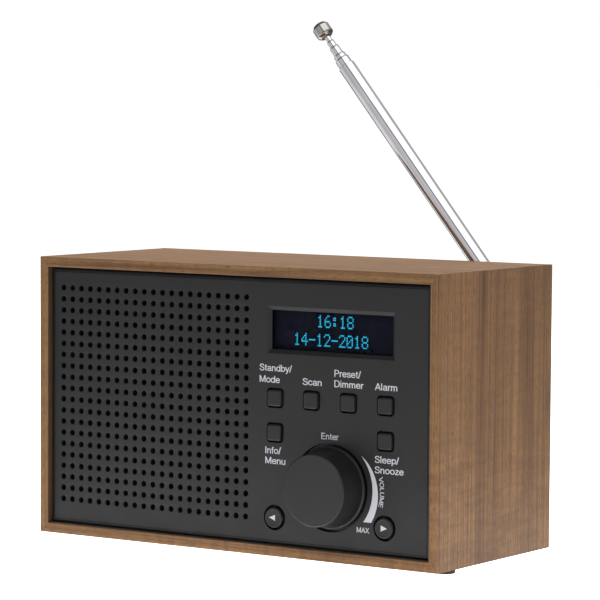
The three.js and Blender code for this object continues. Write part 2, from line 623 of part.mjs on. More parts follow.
function rearPanel() {
  const halfX = INNER_WIDTH / 2;
  const halfZ = INNER_HEIGHT / 2;
  const low = CABINET_MIDDLE - halfZ;
  const high = CABINET_MIDDLE + halfZ;
  const plate = block([-halfX, REAR_INNER, low], [halfX, REAR_FACE, high]);
  const postEnd = MAIN.front + BOARD + GAP;
  const posts = MAIN_POSTS.flatMap(([x, z]) => post(x, z, REAR_INNER + BITE, postEnd, MAIN.front - 1));
  const inside = REAR_INNER - BITE;
  const outside = REAR_FACE + BITE;
  const sunk = REAR_FACE - SCREW.sunk;
  const openings = [
    ...REAR_SCREWS.map(([x, z]) => disc(SCREW.bore, inside, outside, x, z, SMALL_ROUND)),
    ...REAR_SCREWS.map(([x, z]) => disc(SCREW.head + GAP, sunk, outside, x, z, SMALL_ROUND)),
    block(
      [POWER.x - POWER.width / 2 - GAP, inside, POWER.z - POWER.height / 2 - GAP],
      [POWER.x + POWER.width / 2 + GAP, outside, POWER.z + POWER.height / 2 + GAP],
    ),
    disc(PHONES.nose + GAP, inside, outside, PHONES.x, PHONES.z),
    disc(STUD.bore, inside, outside, ANTENNA.x, ANTENNA.z, SMALL_ROUND),
  ];
  place('rear_panel', cut(join(plate, ...posts), ...openings), 'rear');

  REAR_SCREWS.forEach(([x, z], i) => {
    const seat = REAR_FACE - SCREW.sunk + GAP;
    const end = seat - SCREW.length;
    const top = seat + SCREW.headHeight;
    place(`rear_screw_${i + 1}`, turned([
      [0, end], [SCREW.shank, end + SCREW.point], [SCREW.shank, seat], [SCREW.head, seat],
      [SCREW.head - 0.4, top], [0, top],
    ], x, z, SMALL_ROUND), 'steel');
  });

  const boreEnd = REAR_FACE - SCREW.sunk - SCREW.length - GAP;
  for (const [name, sign] of [['left_batten', -1], ['right_batten', 1]]) {
    const bar = block(
      [sign * BATTEN_X - BATTEN.width / 2, REAR_INNER - GAP - BATTEN.depth, low],
      [sign * BATTEN_X + BATTEN.width / 2, REAR_INNER - GAP, high],
    );
    const bores = REAR_SCREWS.filter(([x]) => x * sign > 0)
      .map(([x, z]) => disc(SCREW.bore, boreEnd, REAR_INNER, x, z, SMALL_ROUND));
    place(name, cut(bar, ...bores), 'batten');
  }
}

function mainBoard() {
  const { left, right, bottom, top, front } = MAIN;
  const back = front + BOARD;
  const plate = block([left, front, bottom], [right, back, top]);
  place('main_board', cut(plate, ...stakeHoles(MAIN_POSTS, front)), 'board');

  const face = REAR_FACE - GAP;
  const barrel = disc(POWER.bore, face - POWER.boreDepth, face + BITE, POWER.x, POWER.z, SMALL_ROUND);
  const contact = disc(POWER.pin, face - POWER.boreDepth - BITE, face - 1, POWER.x, POWER.z, TINY_ROUND);
  place('power_inlet', join(
    cut(
      block(
        [POWER.x - POWER.width / 2, back + GAP, POWER.z - POWER.height / 2],
        [POWER.x + POWER.width / 2, face, POWER.z + POWER.height / 2],
      ),
      barrel,
    ),
    contact,
  ), 'rear');

  const half = PHONES.size / 2;
  const shoulder = REAR_INNER - GAP;
  place('headphone_socket', cut(
    join(
      block([PHONES.x - half, back + GAP, PHONES.z - half], [PHONES.x + half, shoulder, PHONES.z + half]),
      disc(PHONES.nose, shoulder - BITE, face, PHONES.x, PHONES.z),
    ),
    disc(PHONES.bore, face - PHONES.boreDepth, face + BITE, PHONES.x, PHONES.z, SMALL_ROUND),
  ), 'rear');
}

// ---------------------------------------------------------------- leads

// A flat ribbon hanging in one long curve from the control board to the main board.
function ribbon() {
  const back = CONTROL.front + BOARD + GAP;
  const front = MAIN.front - GAP;
  const { fromZ, toZ, sag, reach, thick, x, width } = RIBBON;
  const edge = (offset) => new THREE.CubicBezierCurve(
    new THREE.Vector2(back, fromZ + offset),
    new THREE.Vector2(back + reach, fromZ - sag + offset),
    new THREE.Vector2(front - reach, toZ - sag + offset),
    new THREE.Vector2(front, toZ + offset),
  ).getPoints(RIBBON.steps);
  const side = new THREE.Shape([...edge(-thick / 2), ...edge(thick / 2).reverse()]);
  const strip = new THREE.ExtrudeGeometry(side, { depth: width, bevelEnabled: false });
  // The side view's axes become Y and Z, and its depth becomes X.
  strip.applyMatrix4(new THREE.Matrix4().set(0, 0, 1, x, 1, 0, 0, 0, 0, 1, 0, 0, 0, 0, 0, 1));
  return solid(strip);
}

function leads() {
  place('board_ribbon', ribbon(), 'lead');

  const tagX = SPEAKER.x + TERMINAL.reach;
  const tagY = SPEAKER_FRONT + TERMINAL.depth + TERMINAL.thick / 2;
  place('speaker_lead', lead([
    [tagX + GAP + SPEAKER_WIRE, tagY, SPEAKER.z - 4],
    [tagX + 6, tagY + 6, SPEAKER.z - 8],
    [4, -4, 42],
    [7, 12, 38],
    [8, MAIN.front - 6, 37],
    [8, MAIN.front - GAP, 37],
  ], SPEAKER_WIRE, 20), 'lead');

  const nutMiddle = REAR_INNER - GAP - STUD.nutThick / 2;
  place('antenna_lead', lead([
    [ANTENNA.x - STUD.tag - 0.6, nutMiddle, ANTENNA.z],
    [ANTENNA.x - 9, REAR_INNER - 3, ANTENNA.z - 3],
    [56, REAR_INNER - 7, 74],
    [52, MAIN.front - 5, 60],
    [50, MAIN.front - 6, 50],
    [50, MAIN.front - 4, 45],
    [50, MAIN.front - GAP, 43.5],
  ], ANTENNA_WIRE, 24), 'lead');
}

// ---------------------------------------------------------------- antenna

// A round bar along X through the origin.
function crossBar(radius, length) {
  const bar = disc(radius, -length / 2, length / 2, 0, 0, SMALL_ROUND);
  return solid(geometryOf(bar).rotateZ(QUARTER));
}

function antennaStud(end) {
  const nutBack = REAR_INNER - GAP;
  const nutFront = nutBack - STUD.nutThick;
  place('antenna_stud', join(
    turned([
      [0, nutFront], [STUD.nut, nutFront], [STUD.nut, nutBack], [STUD.radius, nutBack],
      [STUD.radius, end], [0, end],
    ], ANTENNA.x, ANTENNA.z, SMALL_ROUND),
    block(
      [ANTENNA.x - STUD.tag, nutFront, ANTENNA.z - STUD.tagWidth / 2],
      [ANTENNA.x, nutFront + STUD.tagThick, ANTENNA.z + STUD.tagWidth / 2],
    ),
  ), 'steel');
}

// A section of tube, open at both ends, with a small chamfer round its mouth.
function openTube(outer, inner, start, mouth) {
  return upright(turned([
    [inner, start], [outer, start], [outer, mouth - MOUTH_EDGE], [outer - MOUTH_EDGE, mouth],
    [inner, mouth], [inner, start],
  ], 0, 0, TUBE_ROUND));
}

function antenna() {
  const studEnd = ANTENNA_AXIS - STUD.end;
  antennaStud(studEnd);

  const swivel = new THREE.Group();
  swivel.position.set(ANTENNA.x, ANTENNA_AXIS, ANTENNA.z);
  swivel.rotation.y = THREE.MathUtils.degToRad(-ANTENNA.lean);
  radio.add(swivel);

  // In the group the pin is at the origin, along X, and the closed antenna stands up along Z.
  // The outer tube's foot ends in a tongue that turns on the pin, between the fork's two cheeks.
  const base = REAR_FACE + GAP - ANTENNA_AXIS;
  const neck = base + FORK.footThick;
  const crown = FORK.radius;
  place('antenna_fork', cut(
    turned([
      [0, base], [FORK.foot, base], [FORK.foot, neck], [FORK.radius, neck + BITE],
      [FORK.radius, crown - FORK.edge], [FORK.radius - FORK.edge, crown], [0, crown],
    ], 0, 0, TUBE_ROUND),
    block([-FORK.slot / 2, -FORK.knuckle - GAP, -6], [FORK.slot / 2, crown + BITE, 6]),
    disc(STUD.bore, base - BITE, studEnd - ANTENNA_AXIS + GAP, 0, 0, SMALL_ROUND),
    crossBar(PIN.bore, 3 * FORK.radius),
  ), 'chrome', swivel);
  place('antenna_pin', crossBar(PIN.radius, PIN.length), 'steel', swivel);

  const half = FORK.tongue / 2;
  const tongue = join(
    block([-half, -FORK.knuckle, 0], [half, FORK.knuckle, TUBE_START + BITE]),
    crossBar(FORK.knuckle, FORK.tongue),
  );
  const { radius, wall, edge } = OUTER_TUBE;
  const plugTop = TUBE_START + TUBE_PLUG;
  let room = radius - wall;
  place('antenna_tube_1', cut(
    join(
      upright(turned([
        [0, TUBE_START], [radius - edge, TUBE_START], [radius, TUBE_START + edge],
        [radius, TUBE_MOUTH - MOUTH_EDGE], [radius - MOUTH_EDGE, TUBE_MOUTH], [room, TUBE_MOUTH],
        [room, plugTop], [0, plugTop],
      ], 0, 0, TUBE_ROUND)),
      tongue,
    ),
    crossBar(PIN.bore, 3 * FORK.radius),
  ), 'chrome', swivel);

  let mouth = TUBE_MOUTH;
  let start = plugTop + SECTION_STEP;
  for (const section of SECTIONS) {
    room = section.radius - section.wall;
    mouth += section.proud;
    place(section.name, openTube(section.radius, room, start, mouth), 'chrome', swivel);
    start += SECTION_STEP;
  }

  const low = mouth + ROD.proud;
  const high = low + TIP.length;
  const grip = ROD.radius + GAP / 2;
  const rod = disc(ROD.radius, start, low + ROD.inTip, 0, 0, SMALL_ROUND);
  place('antenna_rod', upright(rod), 'chrome', swivel);
  place('antenna_tip', upright(turned([
    [grip, low], [TIP.radius - TIP.edge, low], [TIP.radius, low + TIP.edge],
    [TIP.radius, high - TIP.edge], [TIP.radius - TIP.edge, high], [0, high],
    [0, high - TIP.roof], [grip, high - TIP.roof], [grip, low],
  ], 0, 0, TUBE_ROUND)), 'chrome', swivel);
}

// ---------------------------------------------------------------- assembly

sleeve();
feet();
frontPanel();
display();
keys();
controlBoard();
knobAndEncoder();
speaker();
rearPanel();
mainBoard();
leads();
antenna();

export default radio;
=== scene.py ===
import json
import math

import bmesh
import bpy
from mathutils import Matrix, Vector


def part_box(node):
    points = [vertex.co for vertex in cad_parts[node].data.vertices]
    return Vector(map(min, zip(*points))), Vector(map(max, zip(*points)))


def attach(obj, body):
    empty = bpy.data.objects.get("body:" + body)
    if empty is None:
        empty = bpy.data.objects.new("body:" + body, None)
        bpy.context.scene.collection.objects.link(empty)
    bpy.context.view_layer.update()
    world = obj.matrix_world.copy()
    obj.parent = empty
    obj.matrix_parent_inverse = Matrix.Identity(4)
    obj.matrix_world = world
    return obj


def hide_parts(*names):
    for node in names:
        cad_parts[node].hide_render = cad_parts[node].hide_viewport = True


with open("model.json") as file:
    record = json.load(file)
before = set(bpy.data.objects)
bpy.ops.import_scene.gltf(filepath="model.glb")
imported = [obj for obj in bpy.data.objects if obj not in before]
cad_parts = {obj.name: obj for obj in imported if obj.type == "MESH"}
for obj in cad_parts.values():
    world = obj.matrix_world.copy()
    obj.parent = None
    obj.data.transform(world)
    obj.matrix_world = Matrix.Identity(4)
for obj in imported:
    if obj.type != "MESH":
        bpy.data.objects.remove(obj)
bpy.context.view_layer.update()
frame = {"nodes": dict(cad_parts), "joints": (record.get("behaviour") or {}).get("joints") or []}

# Looks for the tabletop radio. Shapes are worked out in millimetres in the row frame (+Z up, front at -Y)
# and scaled to metres when a piece is made. Places come from the CAD nodes' boxes.

MM = 0.001
UP_Y, UP_Z = Vector((0, 1, 0)), Vector((0, 0, 1))
SQUARE = ((1, 1), (-1, 1), (-1, -1), (1, -1))


# ---- camera

CAMERA_PLACE = (0.686564, -1.009789, 0.180188)
AZIMUTH, ELEVATION, ROLL = (math.radians(degrees) for degrees in (34.0747, 3.9246, 0.3441))
FOCAL_LENGTH, SENSOR_WIDTH = 187.4985, 36


def set_camera():
    camera = bpy.data.objects.new("camera", bpy.data.cameras.new("camera"))
    bpy.context.scene.collection.objects.link(camera)
    place = Matrix.Translation(CAMERA_PLACE)
    for angle, axis in ((AZIMUTH, "Z"), (math.pi / 2 - ELEVATION, "X"), (ROLL, "Z")):
        place @= Matrix.Rotation(angle, 4, axis)
    camera.matrix_world = place
    camera.data.sensor_width = SENSOR_WIDTH
    camera.data.lens = FOCAL_LENGTH
    camera.data.clip_start = 0.05
    camera.data.clip_end = 50
    bpy.context.scene.camera = camera


set_camera()


# ---- materials

# Every material made so far, by its name
PAINTS = {}


class Nodes:
    """A node tree while it is put together. What a node is given is a socket to link or a constant."""

    def __init__(self, tree):
        self.tree = tree

    def feed(self, socket, value):
        if isinstance(value, bpy.types.NodeSocket):
            self.tree.links.new(value, socket)
        else:
            socket.default_value = value

    def add(self, kind, inputs=(), **settings):
        node = self.tree.nodes.new("ShaderNode" + kind)
        for key, value in settings.items():
            setattr(node, key, value)
        for key, value in dict(inputs).items():
            self.feed(node.inputs[key], value)
        return node

    def calc(self, operation, *values):
        return self.add("Math", dict(enumerate(values)), operation=operation).outputs[0]

    def times(self, a, b):
        return self.calc("MULTIPLY", a, b)

    def span(self, value, low, high, to_low, to_high):
        return self.add("MapRange", {
            "Value": value, "From Min": low, "From Max": high, "To Min": to_low, "To Max": to_high,
        }).outputs["Result"]

    def ramp(self, value, *stops):
        node = self.add("ValToRGB", {"Fac": value})
        marks = node.color_ramp.elements
        while len(marks) < len(stops):
            marks.new(0.5)
        for mark, (position, colour) in zip(marks, stops):
            mark.position = position
            mark.color = (*colour, 1)
        return node.outputs["Color"]

    def blend(self, factor, a, b, mode="MIX"):
        a, b = (end if isinstance(end, bpy.types.NodeSocket) else (*end, 1) for end in (a, b))
        return self.add("Mix", {0: factor, 6: a, 7: b}, data_type="RGBA", blend_type=mode).outputs[2]


class Paint(Nodes):
    """A material on one principled shader, whose constant inputs are given by name."""

    def __init__(self, name, **constants):
        self.material = PAINTS[name] = bpy.data.materials.new(name)
        self.material.use_nodes = True
        super().__init__(self.material.node_tree)
        self.shader = self.tree.nodes["Principled BSDF"]
        self.place = None
        for key, value in constants.items():
            self.feed(self.shader.inputs[key.replace("_", " ")], value)

    def where(self, scale=(1, 1, 1)):
        """Object coordinates, which are the row frame's metres, stretched by scale."""
        if self.place is None:
            self.place = self.add("TexCoord").outputs["Object"]
        return self.add("Mapping", {"Vector": self.place, "Scale": scale}).outputs["Vector"]

    def noise(self, scale, stretch=(1, 1, 1), detail=3, rough=0.5, distortion=0):
        return self.add("TexNoise", {
            "Vector": self.where(stretch), "Scale": scale, "Detail": detail, "Roughness": rough,
            "Distortion": distortion,
        }).outputs["Fac"]

    def waves(self, along, scale):
        inputs = {"Vector": self.where(), "Scale": scale}
        return self.add("TexWave", inputs, bands_direction=along).outputs["Fac"]

    def bump(self, height, depth_mm, strength=1.0, under=None):
        inputs = {"Height": height, "Distance": depth_mm * MM, "Strength": strength}
        if under is not None:
            inputs["Normal"] = under
        return self.add("Bump", inputs).outputs["Normal"]

    def finish(self, colour, roughness=None, normal=None, glow=None):
        sockets = {"Base Color": colour, "Roughness": roughness, "Normal": normal, "Emission Color": glow}
        for key, socket in sockets.items():
            if socket is not None:
                self.feed(self.shader.inputs[key], socket)
        return self.material

    def textured(self, texture, colours, rough, height, marks=(0.3, 0.7)):
        """Finishes with one texture that sets colour, roughness and height, a depth in mm and a strength."""
        colour, rough = self.ramp(texture, *colours), self.span(texture, *marks, *rough)
        return self.finish(colour, rough, self.bump(texture, *height))

    def worn(self, colour, edge, amount):
        """colour, lightened towards edge where the surface turns sharply outwards."""
        pointed = self.add("NewGeometry").outputs["Pointiness"]
        wear = self.span(pointed, 0.52, 0.6, 0, amount)
        return self.blend(wear, colour, edge)


# colours laid over the wood: in its pores and on its rubbed edges, and painted shade on the sleeve's inner
# faces
PORE, RUBBED, SLEEVE_SHADE = (0.062, 0.032, 0.018), (0.34, 0.21, 0.11), (0.022, 0.015, 0.011)


def walnut(name, along):
    """Oiled walnut veneer with its grain along X (0) or Z (2)."""
    paint = Paint(name, Specular_IOR_Level=0.19, Sheen_Weight=0.12, Sheen_Roughness=0.35)

    def grain(across, lengthways, **settings):
        stretch = [across] * 3
        stretch[along] = lengthways
        return paint.noise(1, stretch, **settings)

    lines = grain(860, 10, detail=4, rough=0.5, distortion=0.2)
    colour = paint.ramp(
        lines, (0.28, (0.099, 0.048, 0.022)), (0.42, (0.151, 0.078, 0.032)), (0.56, (0.179, 0.095, 0.039)),
        (0.74, (0.216, 0.118, 0.050)),
    )
    bands = paint.ramp(
        grain(50, 2.0, detail=3, distortion=0.5), (0.30, (0.64, 0.60, 0.63)), (0.5, (0.99, 0.98, 0.97)),
        (0.68, (1.15, 1.12, 1.06)),
    )
    colour = paint.blend(1.0, colour, bands, "MULTIPLY")

    # Each year's growth ends in a thin dark line, which is stronger in some places than in others
    years = paint.times(grain(36, 1.3, detail=2, distortion=0.1), 13)
    late = paint.ramp(
        paint.calc("FRACT", years), (0, (0.62, 0.57, 0.62)), (0.12, (0.98, 0.98, 0.98)),
        (0.84, (1.03, 1.03, 1.02)), (1, (0.66, 0.62, 0.67)),
    )
    drawn = paint.span(grain(44, 3, detail=1), 0.42, 0.58, 0.2, 0.85)
    colour = paint.blend(drawn, colour, late, "MULTIPLY")

    # Ripples across the grain, in patches
    ripples = paint.ramp(
        grain(60, 260, detail=3, distortion=0.8), (0.36, (0.80, 0.78, 0.80)), (0.62, (1.08, 1.08, 1.06)),
    )
    patches = paint.span(paint.noise(14, detail=1), 0.42, 0.6, 0.4, 1.0)
    colour = paint.blend(patches, colour, ripples, "MULTIPLY")

    dashes = grain(2600, 330, detail=2)
    pores = paint.span(dashes, 0.52, 0.66, 0, 0.6)
    # The last of these is painted shade, darkening the sleeve's inner faces round the recessed front panel
    for share, over in ((pores, PORE), (chamfers(paint), RUBBED), (painted_sleeve_shade(paint), SLEEVE_SHADE)):
        colour = paint.blend(share, colour, over)
    rough = paint.span(lines, 0.3, 0.7, 0.6, 0.5)
    return paint.finish(colour, rough, paint.bump(dashes, 0.04, 0.5, paint.bump(lines, 0.03, 0.5)))


def chamfers(paint):
    """How much lighter a face is rubbed: more as it tilts away from all three axes, as a box's edges do."""
    facing = paint.add("NewGeometry").outputs["True Normal"]
    size = paint.add("VectorMath", {0: facing}, operation="ABSOLUTE").outputs["Vector"]
    x, y, z = paint.add("SeparateXYZ", {0: size}).outputs
    return paint.span(paint.calc("MAXIMUM", paint.calc("MAXIMUM", x, y), z), 0.98, 0.8, 0, 0.3)


def painted_sleeve_shade(paint):
    """How dark the painted shade is on the sleeve: strong on its inner faces, and none elsewhere."""
    width = -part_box("left_panel")[1][0]
    bottom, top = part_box("bottom_panel")[1][2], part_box("top_panel")[0][2]
    place = paint.add("SeparateXYZ", {0: paint.where()}).outputs
    sideways = paint.calc("ABSOLUTE", place["X"])
    upwards = paint.calc("ABSOLUTE", paint.calc("SUBTRACT", place["Z"], (top + bottom) / 2))
    return paint.times(*(
        paint.span(distance, half + 0.02 * MM, half + 0.3 * MM, 0.85, 0)
        for distance, half in ((sideways, width), (upwards, (top - bottom) / 2))
    ))


def plastic(name, dark, light, rough, grain_mm=0.22, depth=0.012, edge=None):
    """Moulded plastic with a fine spark-eroded grain, faint flow clouds and lighter worn edges."""
    paint = Paint(name, Specular_IOR_Level=0.27)
    grain = paint.noise(1 / (grain_mm * MM), detail=2, rough=0.6)
    cloud = paint.noise(35, detail=3)
    colour = paint.ramp(cloud, (0.3, dark), (0.7, light))
    if edge:
        colour = paint.worn(colour, edge, 0.35)
    smear = paint.span(paint.noise(140, detail=4), 0.3, 0.7, rough - 0.05, rough + 0.06)
    return paint.finish(colour, smear, paint.bump(grain, depth, 0.8))


def metal(name, dark, light, low, high, scratch=(1, 1, 1), scratch_mm=0.3, depth=0.004):
    paint = Paint(name, Metallic=1.0)
    colour = paint.ramp(paint.noise(90, detail=4), (0.3, dark), (0.7, light))
    marks = paint.noise(1 / (scratch_mm * MM), stretch=scratch, detail=3, rough=0.7)
    return paint.finish(colour, paint.span(marks, 0.3, 0.75, low, high), paint.bump(marks, depth, 0.6))


def cone_paper():
    paint = Paint("cone_paper", Sheen_Weight=0.15)
    fibre = paint.noise(900, detail=5, rough=0.75, distortion=1.5)
    colours = [(0.35, (0.010, 0.010, 0.011)), (0.65, (0.028, 0.027, 0.027))]
    return paint.textured(fibre, colours, (0.85, 0.98), (0.08, 0.7))


def spider_cloth():
    paint = Paint("spider_cloth", Sheen_Weight=0.3)
    weave = paint.calc("MAXIMUM", paint.waves("X", 260), paint.waves("Z", 260))
    colours = [(0.2, (0.26, 0.15, 0.05)), (0.9, (0.52, 0.33, 0.12))]
    return paint.textured(weave, colours, (0.95, 0.8), (0.1, 0.8), marks=(0, 1))


def board_laminate():
    paint = Paint("board_laminate", Coat_Weight=0.3)
    glass = paint.noise(1500, detail=2)
    tracks = paint.add("TexBrick", {
        "Vector": paint.where(), "Scale": 120, "Color1": (0.012, 0.085, 0.036, 1),
        "Color2": (0.018, 0.105, 0.045, 1), "Mortar": (0.03, 0.15, 0.07, 1), "Mortar Size": 0.03,
    }).outputs["Color"]
    cloth = paint.ramp(glass, (0.3, (0.7, 0.7, 0.7)), (0.7, (1, 1, 1)))
    colour = paint.blend(0.5, tracks, cloth, "MULTIPLY")
    return paint.finish(colour, paint.span(glass, 0.3, 0.7, 0.35, 0.5), paint.bump(glass, 0.02, 0.4))


def copper_winding():
    paint = Paint("copper", Metallic=1.0)
    colours = [(0.1, (0.20, 0.07, 0.03)), (0.7, (0.72, 0.32, 0.15))]
    return paint.textured(paint.waves("Y", 1100), colours, (0.5, 0.28), (0.08, 0.9), marks=(0, 1))


def rubber(name, dark, light):
    paint = Paint(name, Specular_IOR_Level=0.3)
    dust = paint.noise(1300, detail=4, rough=0.7)
    return paint.textured(dust, [(0.35, dark), (0.75, light)], (0.78, 0.95), (0.04, 0.6))


def batten_wood():
    paint = Paint("batten_wood")
    lines = paint.noise(1, (500, 500, 12), detail=4, rough=0.6, distortion=0.4)
    colours = [(0.3, (0.36, 0.22, 0.11)), (0.5, (0.55, 0.38, 0.21)), (0.7, (0.66, 0.50, 0.31))]
    return paint.textured(lines, colours, (0.75, 0.6), (0.1, 0.6))


def lens_acrylic():
    """Smoked, blue-tinted acrylic. Its index of 1 leaves out its weak reflections, which would speckle."""
    paint = Paint("lens_acrylic", Transmission_Weight=1.0, IOR=1.0)
    haze = paint.noise(220, detail=4, rough=0.6)
    colour = paint.ramp(haze, (0.3, (0.60, 0.64, 0.78)), (0.7, (0.66, 0.70, 0.84)))
    return paint.finish(colour, paint.span(haze, 0.3, 0.7, 0.01, 0.03))


def display_glass():
    """The unlit dot-matrix cell: navy, with its column lines just showing, and a faint painted glow in its
    own colour.
    """
    paint = Paint("display_glass", Emission_Strength=0.1, Specular_IOR_Level=0.05)
    columns = paint.waves("X", 270)
    colour = paint.ramp(columns, (0.2, (0.0091, 0.0086, 0.0100)), (0.8, (0.0112, 0.0111, 0.0146)))
    # Painted glow: the cell's colour is also fed to its emission, though the cell is no lamp
    return paint.finish(colour, paint.span(paint.noise(300), 0.3, 0.7, 0.2, 0.3), glow=colour)


def legend_ink():
    paint = Paint("legend_ink")
    grain = paint.noise(5200, detail=3, rough=0.7)
    colours = [(0.3, (0.345, 0.345, 0.375)), (0.7, (0.45, 0.45, 0.485))]
    return paint.textured(grain, colours, (0.5, 0.65), (0.008, 0.4))


def display_glow():
    paint = Paint("display_glow", Emission_Strength=0.42)
    flicker = paint.noise(700, detail=2)
    colour = paint.ramp(flicker, (0.3, (0.012, 0.56, 0.66)), (0.7, (0.024, 0.68, 0.78)))
    return paint.finish(colour, paint.span(flicker, 0.3, 0.7, 0.3, 0.4), glow=colour)


walnut("walnut_x", 0)
walnut("walnut_z", 2)
batten_wood()
plastic("front_plastic", (0.0068, 0.0066, 0.0074), (0.0088, 0.0086, 0.0095), 0.5, depth=0.008)
plastic("rear_plastic", (0.011, 0.011, 0.012), (0.014, 0.014, 0.015), 0.64, grain_mm=0.5, depth=0.03)
plastic(
    "key_plastic", (0.0062, 0.0060, 0.0068), (0.0080, 0.0078, 0.0087), 0.46, grain_mm=0.16, depth=0.006,
    edge=(0.06, 0.06, 0.06),
)
lens_acrylic()
display_glass()
board_laminate()
rubber("foot_rubber", (0.018, 0.018, 0.018), (0.042, 0.041, 0.040))
rubber("surround_rubber", (0.010, 0.010, 0.010), (0.022, 0.022, 0.022))
metal("antenna_chrome", (0.40, 0.39, 0.41), (0.47, 0.46, 0.48), 0.05, 0.13)
metal("tip_nickel", (0.24, 0.23, 0.215), (0.34, 0.33, 0.31), 0.11, 0.22)
metal("steel", (0.27, 0.27, 0.28), (0.40, 0.40, 0.41), 0.28, 0.46, scratch=(1, 6, 1))
rubber("ferrite", (0.012, 0.012, 0.013), (0.035, 0.034, 0.034))
copper_winding()
cone_paper()
spider_cloth()
rubber("lead_insulation", (0.010, 0.010, 0.012), (0.020, 0.020, 0.024))
legend_ink()
display_glow()


# ---- shapes, in millimetres

def box_of(node):
    low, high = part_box(node)
    return low / MM, high / MM


def extent(node):
    """The low and high corners of a node's box, and its middle."""
    low, high = box_of(node)
    return low, high, (low + high) / 2


def middle_of(node):
    return extent(node)[2]


def corners_of(node, inset):
    """Four places seen from the front, each inset from a corner of the node's box."""
    low, high = box_of(node)
    return [
        Vector((x, 0, z)) for x in (low.x + inset, high.x - inset) for z in (low.z + inset, high.z - inset)
    ]


def rounded(points, steps=3):
    """A polyline whose corners (a, b, radius) are turned into arcs. A corner without a radius stays sharp."""
    path = []
    count = len(points)
    for i, point in enumerate(points):
        here = Vector(point[:2])
        radius = point[2] if len(point) > 2 else 0
        if not radius:
            path.append(tuple(here))
            continue
        before = Vector(points[(i - 1) % count][:2]) - here
        after = Vector(points[(i + 1) % count][:2]) - here
        half = before.angle(after) / 2
        reach = min(radius / math.tan(half), before.length * 0.49, after.length * 0.49)
        start, end = here + before.normalized() * reach, here + after.normalized() * reach
        for step in range(steps + 1):
            t = step / steps
            path.append(tuple(start * (1 - t) ** 2 + here * 2 * t * (1 - t) + end * t ** 2))
    return path


def turned(corners, origin, axis, sides, steps=3):
    """A solid turned about the axis through origin, from (radius, distance along the axis, rounding)."""
    profile = rounded(corners, steps)
    side = axis.orthogonal().normalized()
    other = axis.cross(side)
    loop = profile[0] == profile[-1]
    points, rings = [], []
    for radius, along in profile[:-1] if loop else profile:
        count = 1 if radius < 1e-6 else sides
        rings.append(range(len(points), len(points) + count))
        for i in range(count):
            angle = 2 * math.pi * i / sides
            spoke = side * math.cos(angle) + other * math.sin(angle)
            points.append(origin + axis * along + spoke * radius)
    faces = []
    for lower, upper in zip(rings, rings[1:] + (rings[:1] if loop else [])):
        for i in range(sides):
            j = (i + 1) % sides
            if len(lower) > 1 and len(upper) > 1:
                faces.append((lower[i], lower[j], upper[j], upper[i]))
            elif len(upper) > 1:
                faces.append((lower[0], upper[j], upper[i]))
            elif len(lower) > 1:
                faces.append((lower[i], lower[j], upper[0]))
    return points, faces


def spun(corners, place, sides, steps=3):
    """A solid turned about the line along Y through a place, from (radius, y, rounding)."""
    return turned(corners, Vector((place.x, 0, place.z)), UP_Y, sides, steps)


def ring(inner, outer, start, end, place, sides):
    """A plain ring about the line along Y through a place."""
    return spun([(inner, start), (outer, start), (outer, end), (inner, end), (inner, start)], place, sides)


def loft(loops, closed=False):
    """A solid through loops of the same number of points. Its ends are filled, or joined if it is closed."""
    count, levels = len(loops[0]), len(loops)
    points = [point for loop in loops for point in loop]
    faces = [] if closed else [tuple(range(count))[::-1], tuple(range((levels - 1) * count, levels * count))]
    for level in range(levels if closed else levels - 1):
        a, b = level * count, (level + 1) % levels * count
        for i in range(count):
            j = (i + 1) % count
            faces.append((a + i, a + j, b + j, b + i))
    return points, faces


def square_outline(x, z, width, height, corner, arc=6):
    """A rectangle with rounded corners in the X and Z plane."""
    outline = []
    for turn, (sx, sz) in enumerate(SQUARE):
        cx, cz = x + sx * (width / 2 - corner), z + sz * (height / 2 - corner)
        for step in range(arc + 1):
            angle = math.pi / 2 * (turn + step / arc)
            outline.append((cx + corner * math.cos(angle), cz + corner * math.sin(angle)))
    return outline


def inset_outline(low, high, inset, corner, arc=6):
    """The rectangle between two corners, seen from the front and moved inwards by inset."""
    middle, size = (low + high) / 2, high - low
    return square_outline(middle.x, middle.z, size.x - 2 * inset, size.z - 2 * inset, corner, arc)


def round_outline(x, z, radius, sides):
    return [
        (x + radius * math.cos(2 * math.pi * i / sides), z + radius * math.sin(2 * math.pi * i / sides))
        for i in range(sides)
    ]


def standing(outline, y):
    """An outline's points in space, all at y."""
    return [Vector((x, y, z)) for x, z in outline]


def prism(outline_at, stations):
    """A loft along Y of outline_at(inset) at each (y, inset)."""
    return loft([standing(outline_at(inset), y) for y, inset in stations])


def rim(low, high, corner, stations):
    """A closed ring inside the rectangle between two corners, through (y, inset) stations."""
    return loft([standing(inset_outline(low, high, inset, corner), y) for y, inset in stations], closed=True)


def shown_mesh(obj):
    """A new mesh of an object as its modifiers leave it."""
    bpy.context.view_layer.update()
    return bpy.data.meshes.new_from_object(obj.evaluated_get(bpy.context.evaluated_depsgraph_get()))


def mesh_of(curve):
    """A curve's mesh, as points and faces in the curve's own X, Y and Z."""
    holder = bpy.data.objects.new("holder", curve)
    bpy.context.scene.collection.objects.link(holder)
    made = shown_mesh(holder)
    points = [vertex.co.copy() for vertex in made.vertices]
    faces = [tuple(face.vertices) for face in made.polygons]
    bpy.data.objects.remove(holder)
    bpy.data.meshes.remove(made)
    return points, faces


def plate(outlines, front, back, edge):
    """A flat plate facing -Y, with its first outline's shape, the others as holes, and bevelled rims."""
    curve = bpy.data.curves.new("plate", "CURVE")
    curve.dimensions = "2D"
    curve.fill_mode = "BOTH"
    curve.extrude = (back - front) / 2 - edge
    curve.bevel_depth = edge
    curve.bevel_resolution = 1
    curve.offset = -edge
    for outline in outlines:
        spline = curve.splines.new("POLY")
        spline.points.add(len(outline) - 1)
        for point, (x, z) in zip(spline.points, outline):
            point.co = (x, z, 0, 1)
        spline.use_cyclic_u = True
    points, faces = mesh_of(curve)
    middle = (front + back) / 2
    return [Vector((p.x, middle - p.z, p.y)) for p in points], faces


